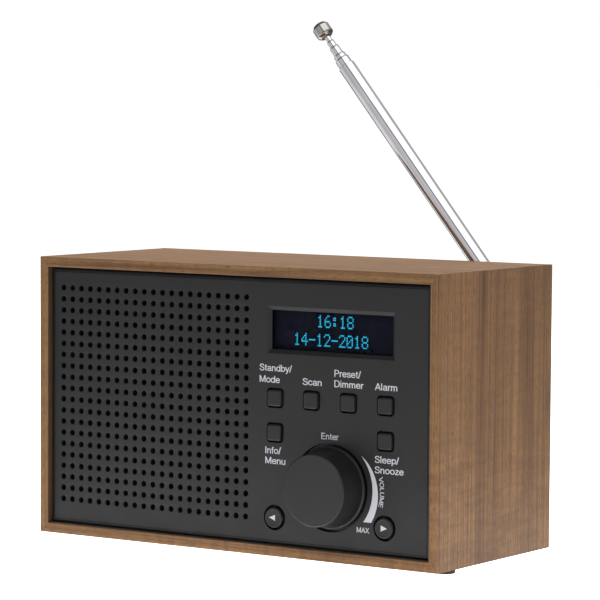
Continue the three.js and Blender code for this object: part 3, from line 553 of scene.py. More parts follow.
def piece(name, parts, paint, body, node=None, smooth=32):
    """One object made of several parts in millimetres, painted, riding on its body, in place of a node."""
    points, faces = [], []
    for part_points, part_faces in parts:
        start = len(points)
        points += [Vector(point) * MM for point in part_points]
        faces += [tuple(start + i for i in face) for face in part_faces]
    mesh = bpy.data.meshes.new(name)
    mesh.from_pydata(points, [], faces)
    mesh.validate()
    shape = bmesh.new()
    shape.from_mesh(mesh)
    bmesh.ops.remove_doubles(shape, verts=shape.verts, dist=1e-7)
    bmesh.ops.recalc_face_normals(shape, faces=shape.faces)
    shape.to_mesh(mesh)
    shape.free()
    mesh.shade_smooth()
    mesh.set_sharp_from_angle(angle=math.radians(smooth))
    mesh.materials.append(PAINTS[paint])
    obj = bpy.data.objects.new(name, mesh)
    bpy.context.scene.collection.objects.link(obj)
    flat = obj.modifiers.new("flat_faces", "WEIGHTED_NORMAL")
    flat.keep_sharp = True
    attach(obj, body)
    if node:
        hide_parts(node)
    return obj


# ---- layout from the CAD nodes

LOW, HIGH = box_of("left_panel")[0], box_of("right_panel")[1]
CABINET_LOW = Vector((LOW.x, LOW.y, box_of("bottom_panel")[0].z))
CABINET_HIGH = Vector((HIGH.x, HIGH.y, box_of("top_panel")[1].z))
WOOD = box_of("left_panel")[1].x - CABINET_LOW.x
PANEL_LOW, PANEL_HIGH = box_of("front_panel")
FACE = PANEL_LOW.y
PANEL_BACK = FACE + 3.0
KNOB = middle_of("knob")
SQUARE_KEYS = ["key_standby", "key_scan", "key_preset", "key_alarm", "key_info", "key_sleep"]
ROUND_KEYS = ["button_down", "button_up"]


def across(left):
    """X at a distance from the cabinet's left side."""
    return CABINET_LOW.x + left


def down(fallen):
    """Z at a distance below the cabinet's top."""
    return CABINET_HIGH.z - fallen


# ---- wooden sleeve

# Each panel's two outer corners, by their sides along X and Z, with 0 the low side and 1 the high one
MITRES = {
    "top_panel": ((0, 1), (1, 1)), "bottom_panel": ((0, 0), (1, 0)),
    "left_panel": ((0, 0), (0, 1)), "right_panel": ((1, 0), (1, 1)),
}
GLUE_GAP = 0.01
EDGE = 0.3


def sleeve():
    """Four mitred panels. Each rim's rounding moves along the mitre, so neighbours meet all round."""
    ends = ((CABINET_LOW.x, CABINET_HIGH.x), (CABINET_LOW.z, CABINET_HIGH.z))
    middle = sum(ends[1]) / 2
    roll = ((0, 1), (0.08, 0.62), (0.3, 0.27), (0.62, 0.07), (1, 0))
    rims = [(EDGE * y, EDGE * inset) for y, inset in roll]
    stations = [(CABINET_LOW.y + y, inset) for y, inset in rims]
    stations += [(CABINET_HIGH.y - y, inset) for y, inset in reversed(rims)]

    def corner(sides, inset):
        return [pair[side] + inset * (1 - 2 * side) for pair, side in zip(ends, sides)]

    for name, (start, end) in MITRES.items():
        level = start[1] == end[1]
        loops = []
        for y, inset in stations:
            outline = [corner(start, inset), corner(end, inset), corner(end, WOOD - inset),
                       corner(start, WOOD - inset)]
            if level:
                outline = [(x - math.copysign(GLUE_GAP, x), z) for x, z in outline]
            else:
                outline = [(x, z - math.copysign(GLUE_GAP, z - middle)) for x, z in outline]
            loops.append(standing(outline, y))
        piece(f"{name}_wood", [loft(loops)], "walnut_x" if level else "walnut_z", "cabinet", name,
              smooth=40)


def feet():
    for name in ("foot_front_left", "foot_front_right", "foot_rear_left", "foot_rear_right"):
        low, high, middle = extent(name)
        radius = (high.x - low.x) / 2
        top = high.z - low.z
        pad = turned([
            (0, 0.25), (radius * 0.55, 0.25, 0.1), (radius * 0.55, 0, 0.1), (radius, 0, 0.5),
            (radius, top, 0.15), (0, top),
        ], Vector((middle.x, middle.y, low.z)), UP_Z, 64)
        piece(f"{name}_pad", [pad], "foot_rubber", "cabinet", name)


# ---- front

# Where the keys' flanges begin, and the sizes of what the panel is opened for
FLANGE = FACE + 3.3
KEY_OPENING, BUTTON_OPENING, KNOB_OPENING = 7.6, 4.85, 16.75
WINDOW = {"width": 54.4, "height": 14.9, "bevel": 1.45, "depth": 0.95}
GRILLE = {"columns": 21, "rows": 20, "pitch": 4.42, "radius": 1.15, "x": 10.3, "z": 12.1}


def front_panel():
    lens = middle_of("display_lens")
    bevel = WINDOW["bevel"]
    outer = (lens.x, lens.z, WINDOW["width"] + 2 * bevel, WINDOW["height"] + 2 * bevel)
    roll = 1.3
    outlines = [inset_outline(PANEL_LOW, PANEL_HIGH, roll, 0.6), square_outline(*outer, 0.15, 2)]
    for key in map(middle_of, SQUARE_KEYS):
        outlines.append(square_outline(key.x, key.z, KEY_OPENING, KEY_OPENING, 1.5))
    for key in map(middle_of, ROUND_KEYS):
        outlines.append(round_outline(key.x, key.z, BUTTON_OPENING, 48))
    outlines.append(round_outline(KNOB.x, KNOB.z, KNOB_OPENING, 96))
    for row in range(GRILLE["rows"]):
        for column in range(GRILLE["columns"]):
            outlines.append(round_outline(
                across(GRILLE["x"] + column * GRILLE["pitch"]), down(GRILLE["z"] + row * GRILLE["pitch"]),
                GRILLE["radius"], 20,
            ))
    face = plate(outlines, FACE, PANEL_BACK, 0.12)

    # The window's sloping frame, from the face down to the lens
    lens_front = box_of("display_lens")[0].y

    def frame_loop(grow, y):
        inset = bevel - grow
        outline = square_outline(
            lens.x, lens.z, outer[2] - 2 * inset, outer[3] - 2 * inset, 0.15 if grow > 0 else 0.1, 2,
        )
        return standing(outline, y)

    window = loft([
        frame_loop(*place) for place in (
            (bevel, FACE + 0.05), (bevel - 0.12, FACE + 0.05), (0.05, FACE + WINDOW["depth"]),
            (0, FACE + WINDOW["depth"] + 0.05), (0, lens_front - 0.02), (bevel, lens_front - 0.02),
        )
    ], closed=True)
    well = ring(4.6, 16.8, FACE + 2, PANEL_BACK, KNOB, 96)

    # Skirt inside the sleeve, loudspeaker seat and board posts
    skirt_back = PANEL_BACK + 5
    skirt = rim(PANEL_LOW, PANEL_HIGH, 0.6, [
        (FACE, roll + 0.3), (FACE, roll), (FACE + 0.1, roll * 0.62), (FACE + 0.38, roll * 0.29),
        (FACE + 0.8, roll * 0.08), (FACE + roll, 0), (skirt_back, 0), (skirt_back, 1.6), (FACE + 1, 1.6),
    ])
    seat = middle_of("speaker_basket")
    seat_end = box_of("speaker_basket")[0].y - 0.3
    collar = ring(37, 41.4, PANEL_BACK - 0.1, seat_end, seat, 96)
    board_low, board_high = box_of("control_board")
    posts = [
        spun([
            (0, PANEL_BACK - 0.1), (2.5, PANEL_BACK - 0.1), (2.5, board_low.y + 2.9, 0.2),
            (1, board_low.y + 2.9), (1, board_high.y + 1, 0.3), (0, board_high.y + 1),
        ], post, 24)
        for post in corners_of("control_board", 3.5)
    ]
    parts = [face, window, well, skirt, collar, *posts]
    piece("front_moulding", parts, "front_plastic", "cabinet", "front_panel")


def square_keys():
    for name in SQUARE_KEYS:
        low, high, key = extent(name)
        size, corner = 6.2, 1.1
        flange = high.x - low.x

        def outline(inset, wide=size, radius=corner):
            return square_outline(key.x, key.z, wide - 2 * inset, wide - 2 * inset, max(radius - inset, 0.25))

        front = low.y
        cap = prism(outline, [
            (front, 0.62), (front + 0.03, 0.45), (front + 0.12, 0.22), (front + 0.3, 0.06), (front + 0.5, 0),
            (FLANGE + 0.3, 0),
        ])
        base = prism(lambda inset: outline(inset, flange, 1.4),
                     [(FLANGE, 0.1), (FLANGE + 0.1, 0), (FLANGE + 0.9, 0), (FLANGE + 1, 0.1)])
        stem = prism(lambda inset: outline(inset, 3, 0.4), [(FLANGE + 0.8, 0), (high.y, 0)])
        piece(f"{name}_cap", [cap, base, stem], "key_plastic", name, name)


def round_keys():
    for name in ROUND_KEYS:
        low, high, key = extent(name)
        front = low.y
        cap = spun([
            (0, front + 0.16), (3.0, front + 0.1, 1.2), (3.25, front, 0.25), (3.75, front + 0.1, 0.4),
            (4, front + 0.6, 0.4), (4, FLANGE), (5.6, FLANGE, 0.1), (5.6, FLANGE + 1, 0.1), (0, FLANGE + 1),
        ], key, 72)
        stem = spun([(0, FLANGE + 0.9), (1.5, FLANGE + 0.9), (1.5, high.y, 0.2), (0, high.y)], key, 24)
        piece(f"{name}_cap", [cap, stem], "key_plastic", name, name)
        # A printed triangle that points left to go down and right to go up
        reach, shift = (-1.4, -0.6) if name == "button_down" else (1.4, 0.24)
        x, half_height = key.x + shift, 1.15
        arrow = [(x - reach, key.z - half_height), (x + reach, key.z), (x - reach, key.z + half_height)]
        print_front = front + 0.08
        loops = [standing(arrow, y) for y in (print_front, print_front + 0.1)]
        piece(f"{name}_arrow", [loft(loops)], "legend_ink", name)


def knob():
    low, high = box_of("knob")
    front = low.y
    shaft_front = box_of("encoder_shaft")[0].y
    cap = spun([
        (0, shaft_front - 0.3), (3.3, shaft_front - 0.3), (3.3, FACE + 0.2), (5, FACE + 0.2),
        (5, front + 2.4), (11.6, front + 2.4, 0.5), (13.4, high.y, 0.2), (15.7, high.y, 0.2),
        (15.7, FACE - 0.25, 0.3), (14.95, FACE - 0.55, 0.3), (13.65, front + 0.35, 0.12),
        (13.3, front, 0.12), (0, front),
    ], KNOB, 128, 4)
    piece("knob_cap", [cap], "key_plastic", "knob_turn", "knob", smooth=24)


# ---- printed legends and the lit display

INK = 0.03

# In cap heights, the width of the pen's line, and how far apart the letters stand against their advances
PEN = 0.122
SPACING = 1.04

# Each letter's advance, and its strokes, in cap heights, as pairs of x and y. "-" runs straight through its
# points, "~" curves through them, and "o" is an ellipse with a middle and two radii
LETTERS = {
    "/": (0.32, "- .03 -.03  .29 1.03"),
    "A": (0.68, "- .03 0  .34 .97 | - .34 .97  .65 0 | - .14 .32  .54 .32"),
    "D": (0.74, "- .1 0  .1 1 | - .1 .94  .34 .94 | - .1 .06  .34 .06 "
                "| ~ .32 .94  .53 .88  .64 .7  .66 .5  .64 .3  .53 .12  .32 .06"),
    "E": (0.66, "- .1 0  .1 1 | - .1 .94  .6 .94 | - .1 .52  .56 .52 | - .1 .06  .62 .06"),
    "I": (0.28, "- .13 0  .13 1"),
    "L": (0.58, "- .1 0  .1 1 | - .1 .06  .54 .06"),
    "M": (0.86, "- .1 0  .1 1 | - .12 .98  .43 .06 | - .43 .06  .74 .98 | - .76 0  .76 1"),
    "O": (0.80, "o .4 .5  .33 .45"),
    "P": (0.68, "- .1 0  .1 1 | - .1 .94  .38 .94 | - .1 .46  .38 .46 "
                "| ~ .36 .94  .54 .88  .6 .7  .54 .52  .36 .46"),
    "S": (0.68, "~ .58 .72  .52 .88  .34 .94  .16 .88  .1 .73  .18 .6  .36 .53  .54 .44  .61 .28  "
                ".53 .12  .34 .06  .15 .12  .08 .3"),
    "U": (0.74, "- .1 1  .1 .33 | ~ .1 .36  .15 .14  .36 .05  .57 .14  .62 .36 | - .62 .33  .62 1"),
    "V": (0.68, "- .03 1  .34 .04 | - .34 .04  .65 1"),
    "X": (0.68, "- .05 0  .63 1 | - .05 1  .63 0"),
    "a": (0.58, "~ .09 .5  .14 .62  .28 .67  .42 .61  .46 .48 | - .46 .5  .46 .12 "
                "| ~ .46 .14  .48 .07  .56 .06 "
                "| ~ .46 .41  .3 .38  .12 .33  .06 .2  .13 .09  .26 .055  .41 .12  .46 .27"),
    "b": (0.60, "- .09 0  .09 1 | o .32 .36  .22 .3"),
    "c": (0.54, "~ .47 .48  .41 .62  .27 .665  .12 .58  .065 .36  .12 .14  .27 .055  .41 .1  .48 .25"),
    "d": (0.60, "- .51 0  .51 1 | o .28 .36  .22 .3"),
    "e": (0.58, "- .07 .37  .52 .37 "
                "| ~ .515 .36  .46 .58  .29 .665  .12 .58  .065 .36  .12 .14  .29 .055  .44 .1  .51 .21"),
    "f": (0.32, "- .14 0  .14 .82 | ~ .14 .8  .18 .92  .32 .935 | - .02 .66  .3 .66"),
    "i": (0.24, "- .1 0  .1 .72 | - .1 .86  .1 1"),
    "l": (0.24, "- .1 0  .1 1"),
    "m": (0.86, "- .09 0  .09 .72 | ~ .09 .46  .15 .61  .27 .66  .38 .6  .42 .44 | - .42 .47  .42 0 "
                "| ~ .42 .46  .48 .61  .6 .66  .71 .6  .75 .44 | - .75 .47  .75 0"),
    "n": (0.58, "- .09 0  .09 .72 | ~ .09 .45  .16 .61  .29 .66  .42 .6  .47 .43 | - .47 .46  .47 0"),
    "o": (0.60, "o .3 .36  .235 .305"),
    "p": (0.60, "- .09 -.27  .09 .72 | o .32 .36  .22 .3"),
    "r": (0.36, "- .09 0  .09 .72 | ~ .09 .44  .15 .59  .25 .655  .35 .65"),
    "s": (0.52, "~ .44 .5  .39 .62  .25 .665  .12 .62  .08 .51  .15 .41  .28 .36  .42 .3  .46 .19  "
                ".4 .09  .25 .055  .11 .1  .06 .22"),
    "t": (0.34, "- .15 .92  .15 .16 | ~ .15 .18  .18 .08  .3 .065 | - .02 .66  .3 .66"),
    "u": (0.58, "- .09 .72  .09 .26 | ~ .09 .29  .14 .1  .27 .055  .4 .11  .47 .28 | - .47 0  .47 .72"),
    "y": (0.52, "- .03 .72  .27 .02 | - .5 .72  .24 -.08 | ~ .25 -.05  .19 -.19  .05 -.215"),
    "z": (0.50, "- .05 .66  .45 .66 | - .43 .66  .07 .06 | - .04 .06  .46 .06"),
}


def curved(points, steps=4):
    """A smooth path through points."""
    ends = [points[0], *points, points[-1]]
    path = []
    for corners in zip(ends, ends[1:], ends[2:], ends[3:]):
        for step in range(steps):
            t = step / steps
            path.append(tuple(
                q + (r - p) * t / 2 + (p - 2.5 * q + 2 * r - s / 2) * t ** 2
                + (3 * (q - r) + s - p) * t ** 3 / 2
                for p, q, r, s in zip(*corners)
            ))
    return [*path, points[-1]]


def pen_stroke(kind, points, left):
    """One stroke of a letter as a flat bar, drawn with a pen PEN wide."""
    closed = kind == "o"
    if closed:
        (x, y), (rx, ry) = points
        angles = [math.radians(degrees) for degrees in range(0, 360, 15)]
        path = [(x + rx * math.cos(angle), y + ry * math.sin(angle)) for angle in angles]
    else:
        path = curved(points) if kind == "~" else points
    path = [Vector((left + x, y)) for x, y in path]
    loops = []
    for i, here in enumerate(path):
        before = path[i - 1] if i or closed else here
        after = path[(i + 1) % len(path)] if i + 1 < len(path) or closed else here
        ahead = (after - before).normalized()
        side = Vector((-ahead.y, ahead.x)) * PEN / 2
        loops.append([Vector((*(here + side * way), level)) for way, level in SQUARE])
    return loft(loops, closed)


def words(text):
    """
    A word's points and faces. A point is u from 0 to 1 along the word, v in cap heights, and a level of about
    1 in front and -1 behind. Strokes that cross are not quite level with each other.
    """
    points, faces, left = [], [], 0
    for letter in text:
        advance, strokes = LETTERS[letter]
        for number, stroke in enumerate(strokes.split("|")):
            kind, *values = stroke.split()
            values = [float(value) for value in values]
            bar_points, bar_faces = pen_stroke(kind, list(zip(values[::2], values[1::2])), left)
            start = len(points)
            points += [Vector((x, y, level * (1 + 0.15 * number))) for x, y, level in bar_points]
            faces += [tuple(start + i for i in face) for face in bar_faces]
        left += advance * SPACING
    low, high = min(point.x for point in points), max(point.x for point in points)
    return [((p.x - low) / (high - low), p.y, p.z) for p in points], faces


def line_of_text(text, left, right, baseline, cap=2.6):
    points, faces = words(text)
    return [
        Vector((across(left + u * (right - left)), FACE - level * INK, down(baseline) + v * cap))
        for u, v, level in points
    ], faces


def round_knob(radius, degrees, y):
    angle = math.radians(degrees)
    return Vector((KNOB.x + radius * math.cos(angle), y, KNOB.z + radius * math.sin(angle)))


def arc_of_text(text, radius, start, end, cap):
    """Text round the knob, read clockwise with its tops outwards, between two angles in degrees."""
    points, faces = words(text)
    return [
        round_knob(radius + v * cap, start + u * (end - start), FACE - level * INK) for u, v, level in points
    ], faces


def crescent():
    """The volume mark: pointed at its top, widening down to a blunt level end."""
    inner, outer, top, foot = 19.1, 21.95, 43, -11.7
    steps = 40
    inner_end, outer_end = (math.degrees(math.asin(foot / radius)) for radius in (inner, outer))
    front, back = FACE - INK, FACE + INK
    loops = []
    for i in range(steps + 1):
        t = i / steps
        inside = (inner, top + (inner_end - top) * t)
        outside = (inner + (outer - inner) * (1 - (1 - t) ** 2), top + (outer_end - top) * t)
        section = ((inside, front), (outside, front), (outside, back), (inside, back))
        loops.append([round_knob(*place, y) for place, y in section])
    return loft(loops)


def legends():
    lines = [
        ("Standby/", 105.0, 119.8, 39.7), ("Mode", 105.0, 114.3, 44.1), ("Scan", 124.7, 133.3, 44.1),
        ("Preset/", 139.0, 150.8, 40.2), ("Dimmer", 139.0, 152.0, 44.1), ("Alarm", 157.0, 166.8, 44.1),
        ("Info/", 107.8, 115.0, 71.1), ("Menu", 107.8, 117.0, 75.0), ("Sleep/", 157.2, 167.8, 71.2),
        ("Snooze", 157.2, 169.9, 75.1),
    ]
    parts = [line_of_text(*line) for line in lines]
    parts.append(line_of_text("Enter", 133.3, 141.1, 64.0, 2.4))
    parts.append(line_of_text("MAX", 149.4, 154.9, 97.85, 2.0))
    parts.append(arc_of_text("VOLUME", 22.4, 14, -14, 1.8))
    parts.append(crescent())
    piece("front_legends", parts, "legend_ink", "cabinet")


# Each character is seven rows of five dots, the leftmost dot being the highest bit
DOTS = {
    "0": (14, 17, 19, 21, 25, 17, 14), "1": (4, 12, 4, 4, 4, 4, 14), "2": (14, 17, 1, 2, 4, 8, 31),
    "4": (2, 6, 10, 18, 31, 2, 2), "6": (6, 8, 16, 30, 17, 17, 14), "8": (14, 17, 17, 14, 17, 17, 14),
    ":": (0, 12, 12, 0, 12, 12, 0), "-": (0, 0, 0, 31, 0, 0, 0),
}


def display():
    low, high = box_of("display_lens")
    pane = prism(
        lambda inset: inset_outline(low, high, inset, 0.5, 3),
        [(low.y, 0.2), (low.y + 0.2, 0), (high.y - 0.2, 0), (high.y, 0.2)],
    )
    piece("display_pane", [pane], "lens_acrylic", "cabinet", "display_lens")
    pitch_x, pitch_z, char_pitch = 0.585, 0.69, 3.38
    dot_x, dot_z = 0.42, 0.52
    parts = []
    for text, left, top in (("16:18", 129.2, 17.6), ("14-12-2018", 118.8, 24.7)):
        for place, letter in enumerate(text):
            for row, bits in enumerate(DOTS[letter]):
                for column in range(5):
                    if not bits >> (4 - column) & 1:
                        continue
                    x = across(left + place * char_pitch + (column + 0.5) * pitch_x)
                    z = down(top + (row + 0.5) * pitch_z)
                    parts.append(prism(
                        lambda inset: square_outline(x, z, dot_x - inset, dot_z - inset, 0.08, 1),
                        [(high.y + 0.1, 0.04), (high.y + 0.14, 0), (high.y + 0.3, 0)],
                    ))
    piece("display_digits", parts, "display_glow", "cabinet")


# ---- antenna

TILT = next(joint for joint in frame["joints"] if joint["name"] == "antenna_tilt")
SLIDE = next(joint for joint in frame["joints"] if joint["name"] == "antenna_rod_slide")
PIN = Vector(TILT["pos_m"]) / MM
BAR = Vector(TILT["axis"]).normalized()
LINE = Vector(SLIDE["axis"]).normalized()


# What polished parts mirror is a fan of light and shade about the closed antenna's line. These are two
# directions across that line, then the light at each angle in degrees between them, then how much of it is
# left at each cosine of the angle to the line
FAN = (Vector((0.34630, -0.89396, 0.28446)), Vector((0.69079, 0.44815, 0.56742)))
STRIPS = [
    (-180, 0.9), (-150, 0.4), (-100, 0.3), (-60, 0.25), (-54, 0.95), (-16, 1.15), (-6, 0.95),
    (1, 0.3), (6, 0.3), (14, 2.8), (82, 2.8), (96, 1.4), (108, 0.75), (126, 0.7), (150, 1.0), (180, 0.9),
]
SPREAD = [(0.1, 0.3), (0.2, 0.9), (0.25, 1), (0.35, 1), (0.41, 0.7), (0.5, 0.25)]


def along_line(node):
    """A node's first and last distance along the antenna from its pin, and its greatest radius there."""
    points = [Vector(vertex.co) / MM - PIN for vertex in frame["nodes"][node].data.vertices]
    reach = [point.dot(LINE) for point in points]
    radius = max((point - LINE * point.dot(LINE)).length for point in points)
    return min(reach), max(reach), radius


def tube(node, wall):
    first, last, radius = along_line(node)
    inner = radius - wall
    return turned([
        (inner, first), (radius, first, 0.1), (radius, last - 1.2), (radius, last - 0.9),
        (radius, last, 0.25), (inner, last, 0.05), (inner, first),
    ], PIN, LINE, 64)


def antenna():
    # Outer tube: a plugged foot whose flat tongue turns on the pin between the fork's cheeks
    _, last, _ = along_line("antenna_tube_1")
    radius, wall = 3.5, 0.4
    foot, plug = 5.0, 9.0
    outer = turned([
        (0, foot), (radius, foot, 0.5), (radius, last, 0.28), (radius - wall, last, 0.05),
        (radius - wall, plug), (0, plug),
    ], PIN, LINE, 72, 4)
    depth = LINE.cross(BAR).normalized()
    thick, wide, bevel = 1.3, 3.2, 0.15
    arc = [math.radians(180 + 180 * i / 24) for i in range(25)]
    outline = [(wide * math.cos(angle), wide * math.sin(angle)) for angle in arc]
    outline += [(wide, foot + 0.6), (-wide, foot + 0.6)]

    def slice_at(offset, inset):
        scale = 1 - inset / wide
        return [
            PIN + BAR * offset + depth * (a * scale) + LINE * (b * (scale if b < 0 else 1))
            for a, b in outline
        ]

    tongue = loft([slice_at(*place) for place in (
        (-thick, bevel), (bevel - thick, 0), (thick - bevel, 0), (thick, bevel),
    )])
    piece("antenna_section_1", [outer, tongue], "antenna_chrome", "antenna_outer", "antenna_tube_1")
    for number, wall in ((2, 0.3), (3, 0.3), (4, 0.3), (5, 0.25)):
        node, name = f"antenna_tube_{number}", f"antenna_section_{number}"
        piece(name, [tube(node, wall)], "antenna_chrome", name, node)
    first, last, radius = along_line("antenna_rod")
    rod = turned([(0, first), (radius, first, 0.2), (radius, last, 0.2), (0, last)], PIN, LINE, 40)
    piece("antenna_inner_rod", [rod], "antenna_chrome", "antenna_rod", "antenna_rod")
    first, last, radius = along_line("antenna_tip")
    tip = turned([
        (1.35, first), (radius - 1.1, first, 0.3), (radius - 0.1, first + 0.9, 0.6),
        (radius, first + 1.4, 0.4), (radius, last - 1.5, 0.5), (radius - 0.9, last - 0.35, 0.6),
        (radius - 1.6, last, 0.8), (0.5, last), (0, last), (0, last - 1.6), (1.35, last - 1.6), (1.35, first),
    ], PIN, LINE, 72, 5)
    piece("antenna_knob", [tip], "tip_nickel", "antenna_rod", "antenna_tip")


# ---- back

SCREWS = [middle_of(f"rear_screw_{number}") for number in range(1, 5)]
SUNK = 1.0


def rear_cover():
    """The moulded back, with its openings, the screws' sunk seats and the main board's posts."""
    low, high = box_of("rear_panel")
    outer, inner = high.y, high.y - 2.8
    phones = middle_of("headphone_socket")
    roll = 0.9
    outlines = [
        inset_outline(low, high, roll, 0.8),
        inset_outline(*box_of("power_inlet"), -0.3, 0.3, 2),
        round_outline(phones.x, phones.z, 4.1, 40),
        round_outline(PIN.x, PIN.z, 2.0, 32),
    ]
    outlines += [round_outline(screw.x, screw.z, 3.4, 40) for screw in SCREWS]
    edge = rim(low, high, 0.8, [
        (outer, roll + 0.2), (outer, roll), (outer - 0.08, roll * 0.6), (outer - 0.3, roll * 0.25),
        (outer - 0.6, 0.05), (outer - roll, 0), (inner, 0), (inner, roll + 0.2),
    ])
    parts = [plate(outlines, inner, outer, 0.15), edge]
    parts += [ring(1.75, 3.5, inner, outer - SUNK, screw, 40) for screw in SCREWS]
    parts.append(spun([
        (6.2, outer - 0.05), (6.2, outer + 0.35, 0.15), (7.2, outer + 0.35, 0.15), (7.2, outer - 0.05),
        (6.2, outer - 0.05),
    ], PIN, 64))
    board_low, board_high = box_of("main_board")
    for post in corners_of("main_board", 4):
        parts.append(spun([
            (0, board_low.y - 1), (1, board_low.y - 1, 0.3), (1, board_high.y + 0.3),
            (2.5, board_high.y + 0.3), (2.5, inner + 0.1), (0, inner + 0.1),
        ], post, 24))
    piece("rear_cover", parts, "rear_plastic", "cabinet", "rear_panel")


def power_inlet():
    """The power inlet, a square block with a round bore, and its centre contact."""
    low, high, middle = extent("power_inlet")
    half_width, half_height, face = (high.x - low.x) / 2, (high.z - low.z) / 2, high.y
    bottom = face - 9
    angles = [2 * math.pi * (i + 0.5) / 48 for i in range(48)]

    def around(inset):
        """The block's outline, with as many points as the bore's."""
        outline = []
        for angle in angles:
            x, z = math.cos(angle), math.sin(angle)
            reach = min(half_width / abs(x), half_height / abs(z)) - inset
            outline.append((middle.x + x * reach, middle.z + z * reach))
        return outline

    def bore(radius):
        return [
            (middle.x + radius * math.cos(angle), middle.z + radius * math.sin(angle)) for angle in angles
        ]

    block = loft([
        standing(outline, y) for y, outline in (
            (low.y, around(0.2)), (low.y + 0.2, around(0)), (face - 0.25, around(0)),
            (face - 0.07, around(0.07)), (face, around(0.25)), (face, bore(3.35)), (face - 0.1, bore(3.12)),
            (face - 0.35, bore(3)), (bottom, bore(3)),
        )
    ])
    piece("power_inlet_body", [block], "rear_plastic", "cabinet", "power_inlet")
    contact = spun([
        (0, bottom - 0.1), (1, bottom - 0.1), (1, face - 1, 0.5), (0, face - 1),
    ], middle, 32, 5)
    piece("power_contact", [contact], "steel", "cabinet")


def headphone_socket():
    """The headphone socket with its sprung bush."""
    low, high, middle = extent("headphone_socket")
    face = high.y
    shoulder = box_of("rear_panel")[1].y - 3.1
    block = prism(lambda inset: square_outline(middle.x, middle.z, 8 - 2 * inset, 8 - 2 * inset, 0.3, 2),
                  [(low.y, 0.2), (low.y + 0.2, 0), (shoulder - 0.2, 0), (shoulder, 0.2)])
    nose = spun([
        (0, face - 2.6), (1.85, face - 2.6), (1.85, face, 0.15), (2.7, face, 0.1), (2.7, face - 0.25, 0.1),
        (3.0, face - 0.25, 0.1), (3.0, face, 0.1), (3.8, face, 0.35), (3.8, shoulder - 0.1),
        (0, shoulder - 0.1),
    ], middle, 48)
    piece("headphone_socket_body", [block, nose], "rear_plastic", "cabinet", "headphone_socket")
    spring = spun([
        (1.5, face - 2.5), (1.84, face - 2.5), (1.84, face - 0.5, 0.1), (1.5, face - 0.5, 0.1),
        (1.5, face - 2.5),
    ], middle, 48)
    piece("headphone_contact", [spring], "steel", "cabinet")


def rear_screws():
    for number in range(1, 5):
        name = f"rear_screw_{number}"
        low, high, middle = extent(name)
        radius = (high.x - low.x) / 2
        seat = high.y - 1.6
        body = spun([
            (0, low.y), (1.45, low.y + 1), (1.45, seat), (radius, seat, 0.1), (radius, seat + 0.6, 0.5),
            (radius * 0.6, high.y, 0.8), (0, high.y),
        ], middle, 48)
        obj = piece(f"{name}_head", [body], "steel", "cabinet", name)
        recess = [(high.y - 1.1, 1.4), (high.y + 0.3, 0)]
        cross = piece(f"{name}_recess", [
            prism(lambda inset: square_outline(middle.x, middle.z, 3.2 - inset, 0.7, 0.1, 1), recess),
            prism(lambda inset: square_outline(middle.x, middle.z, 0.7, 3.2 - inset, 0.1, 1), recess),
        ], "steel", "cabinet")
        carve(obj, cross)


def carve(obj, cutter):
    """Takes cutter's shape out of obj for good, and removes cutter."""
    cut = obj.modifiers.new("carve", "BOOLEAN")
    cut.operation = "DIFFERENCE"
    cut.solver = "EXACT"
    cut.use_self = True
    cut.object = cutter
    old, obj.data = obj.data, shown_mesh(obj)
    obj.modifiers.clear()
    bpy.data.meshes.remove(old)
    bpy.data.objects.remove(cutter)


def fork():
    base = box_of("antenna_fork")[0].y - PIN.y
    body = turned([
        (0, base), (5, base, 0.3), (5, base + 1.6, 0.4), (4, base + 2.2, 0.3), (4, 4, 0.6), (0, 4),
    ], PIN, UP_Y, 72, 4)
    obj = piece("antenna_yoke", [body], "antenna_chrome", "antenna_swivel", "antenna_fork")

    half_gap, reach = 1.6, 7
    slot = loft([
        [PIN + UP_Y * y + BAR * (a * half_gap) + LINE * (b * reach) for a, b in SQUARE] for y in (-3.5, 5)
    ])
    carve(obj, piece("yoke_slot", [slot], "steel", "antenna_swivel"))
    pin = turned([(0, -3.7), (1.1, -3.7, 0.2), (1.1, 3.7, 0.2), (0, 3.7)], PIN, BAR, 40)
    piece("antenna_cross_pin", [pin], "steel", "antenna_swivel", "antenna_pin")


# ---- CAD nodes that keep their shape

KEPT = {
    "batten_wood": ["left_batten", "right_batten"],
    "rear_plastic": ["encoder_plunger"],
    "display_glass": ["display_cell"],
    "board_laminate": ["display_board", "control_board", "main_board"],
    "surround_rubber": ["speaker_surround"],
    "steel": ["antenna_stud", "encoder_body", "encoder_shaft", "speaker_basket", "speaker_yoke",
              "speaker_screw_1", "speaker_screw_2", "speaker_screw_3", "speaker_screw_4"],
    "ferrite": ["speaker_magnet"],
    "copper": ["speaker_voice_coil"],
    "cone_paper": ["speaker_cone", "speaker_dust_cap"],
    "spider_cloth": ["speaker_spider"],
    "lead_insulation": ["board_ribbon", "speaker_lead", "antenna_lead"],
}


def keep_nodes():
    for paint, names in KEPT.items():
        for name in names:
            node = frame["nodes"][name]
            for place in node.material_slots:
                place.material = PAINTS[paint]


# ---- stage

WHITE = (1, 1, 1, 1)


def grey_stops(levels):
    return [(position, (level,) * 3) for position, level in levels]


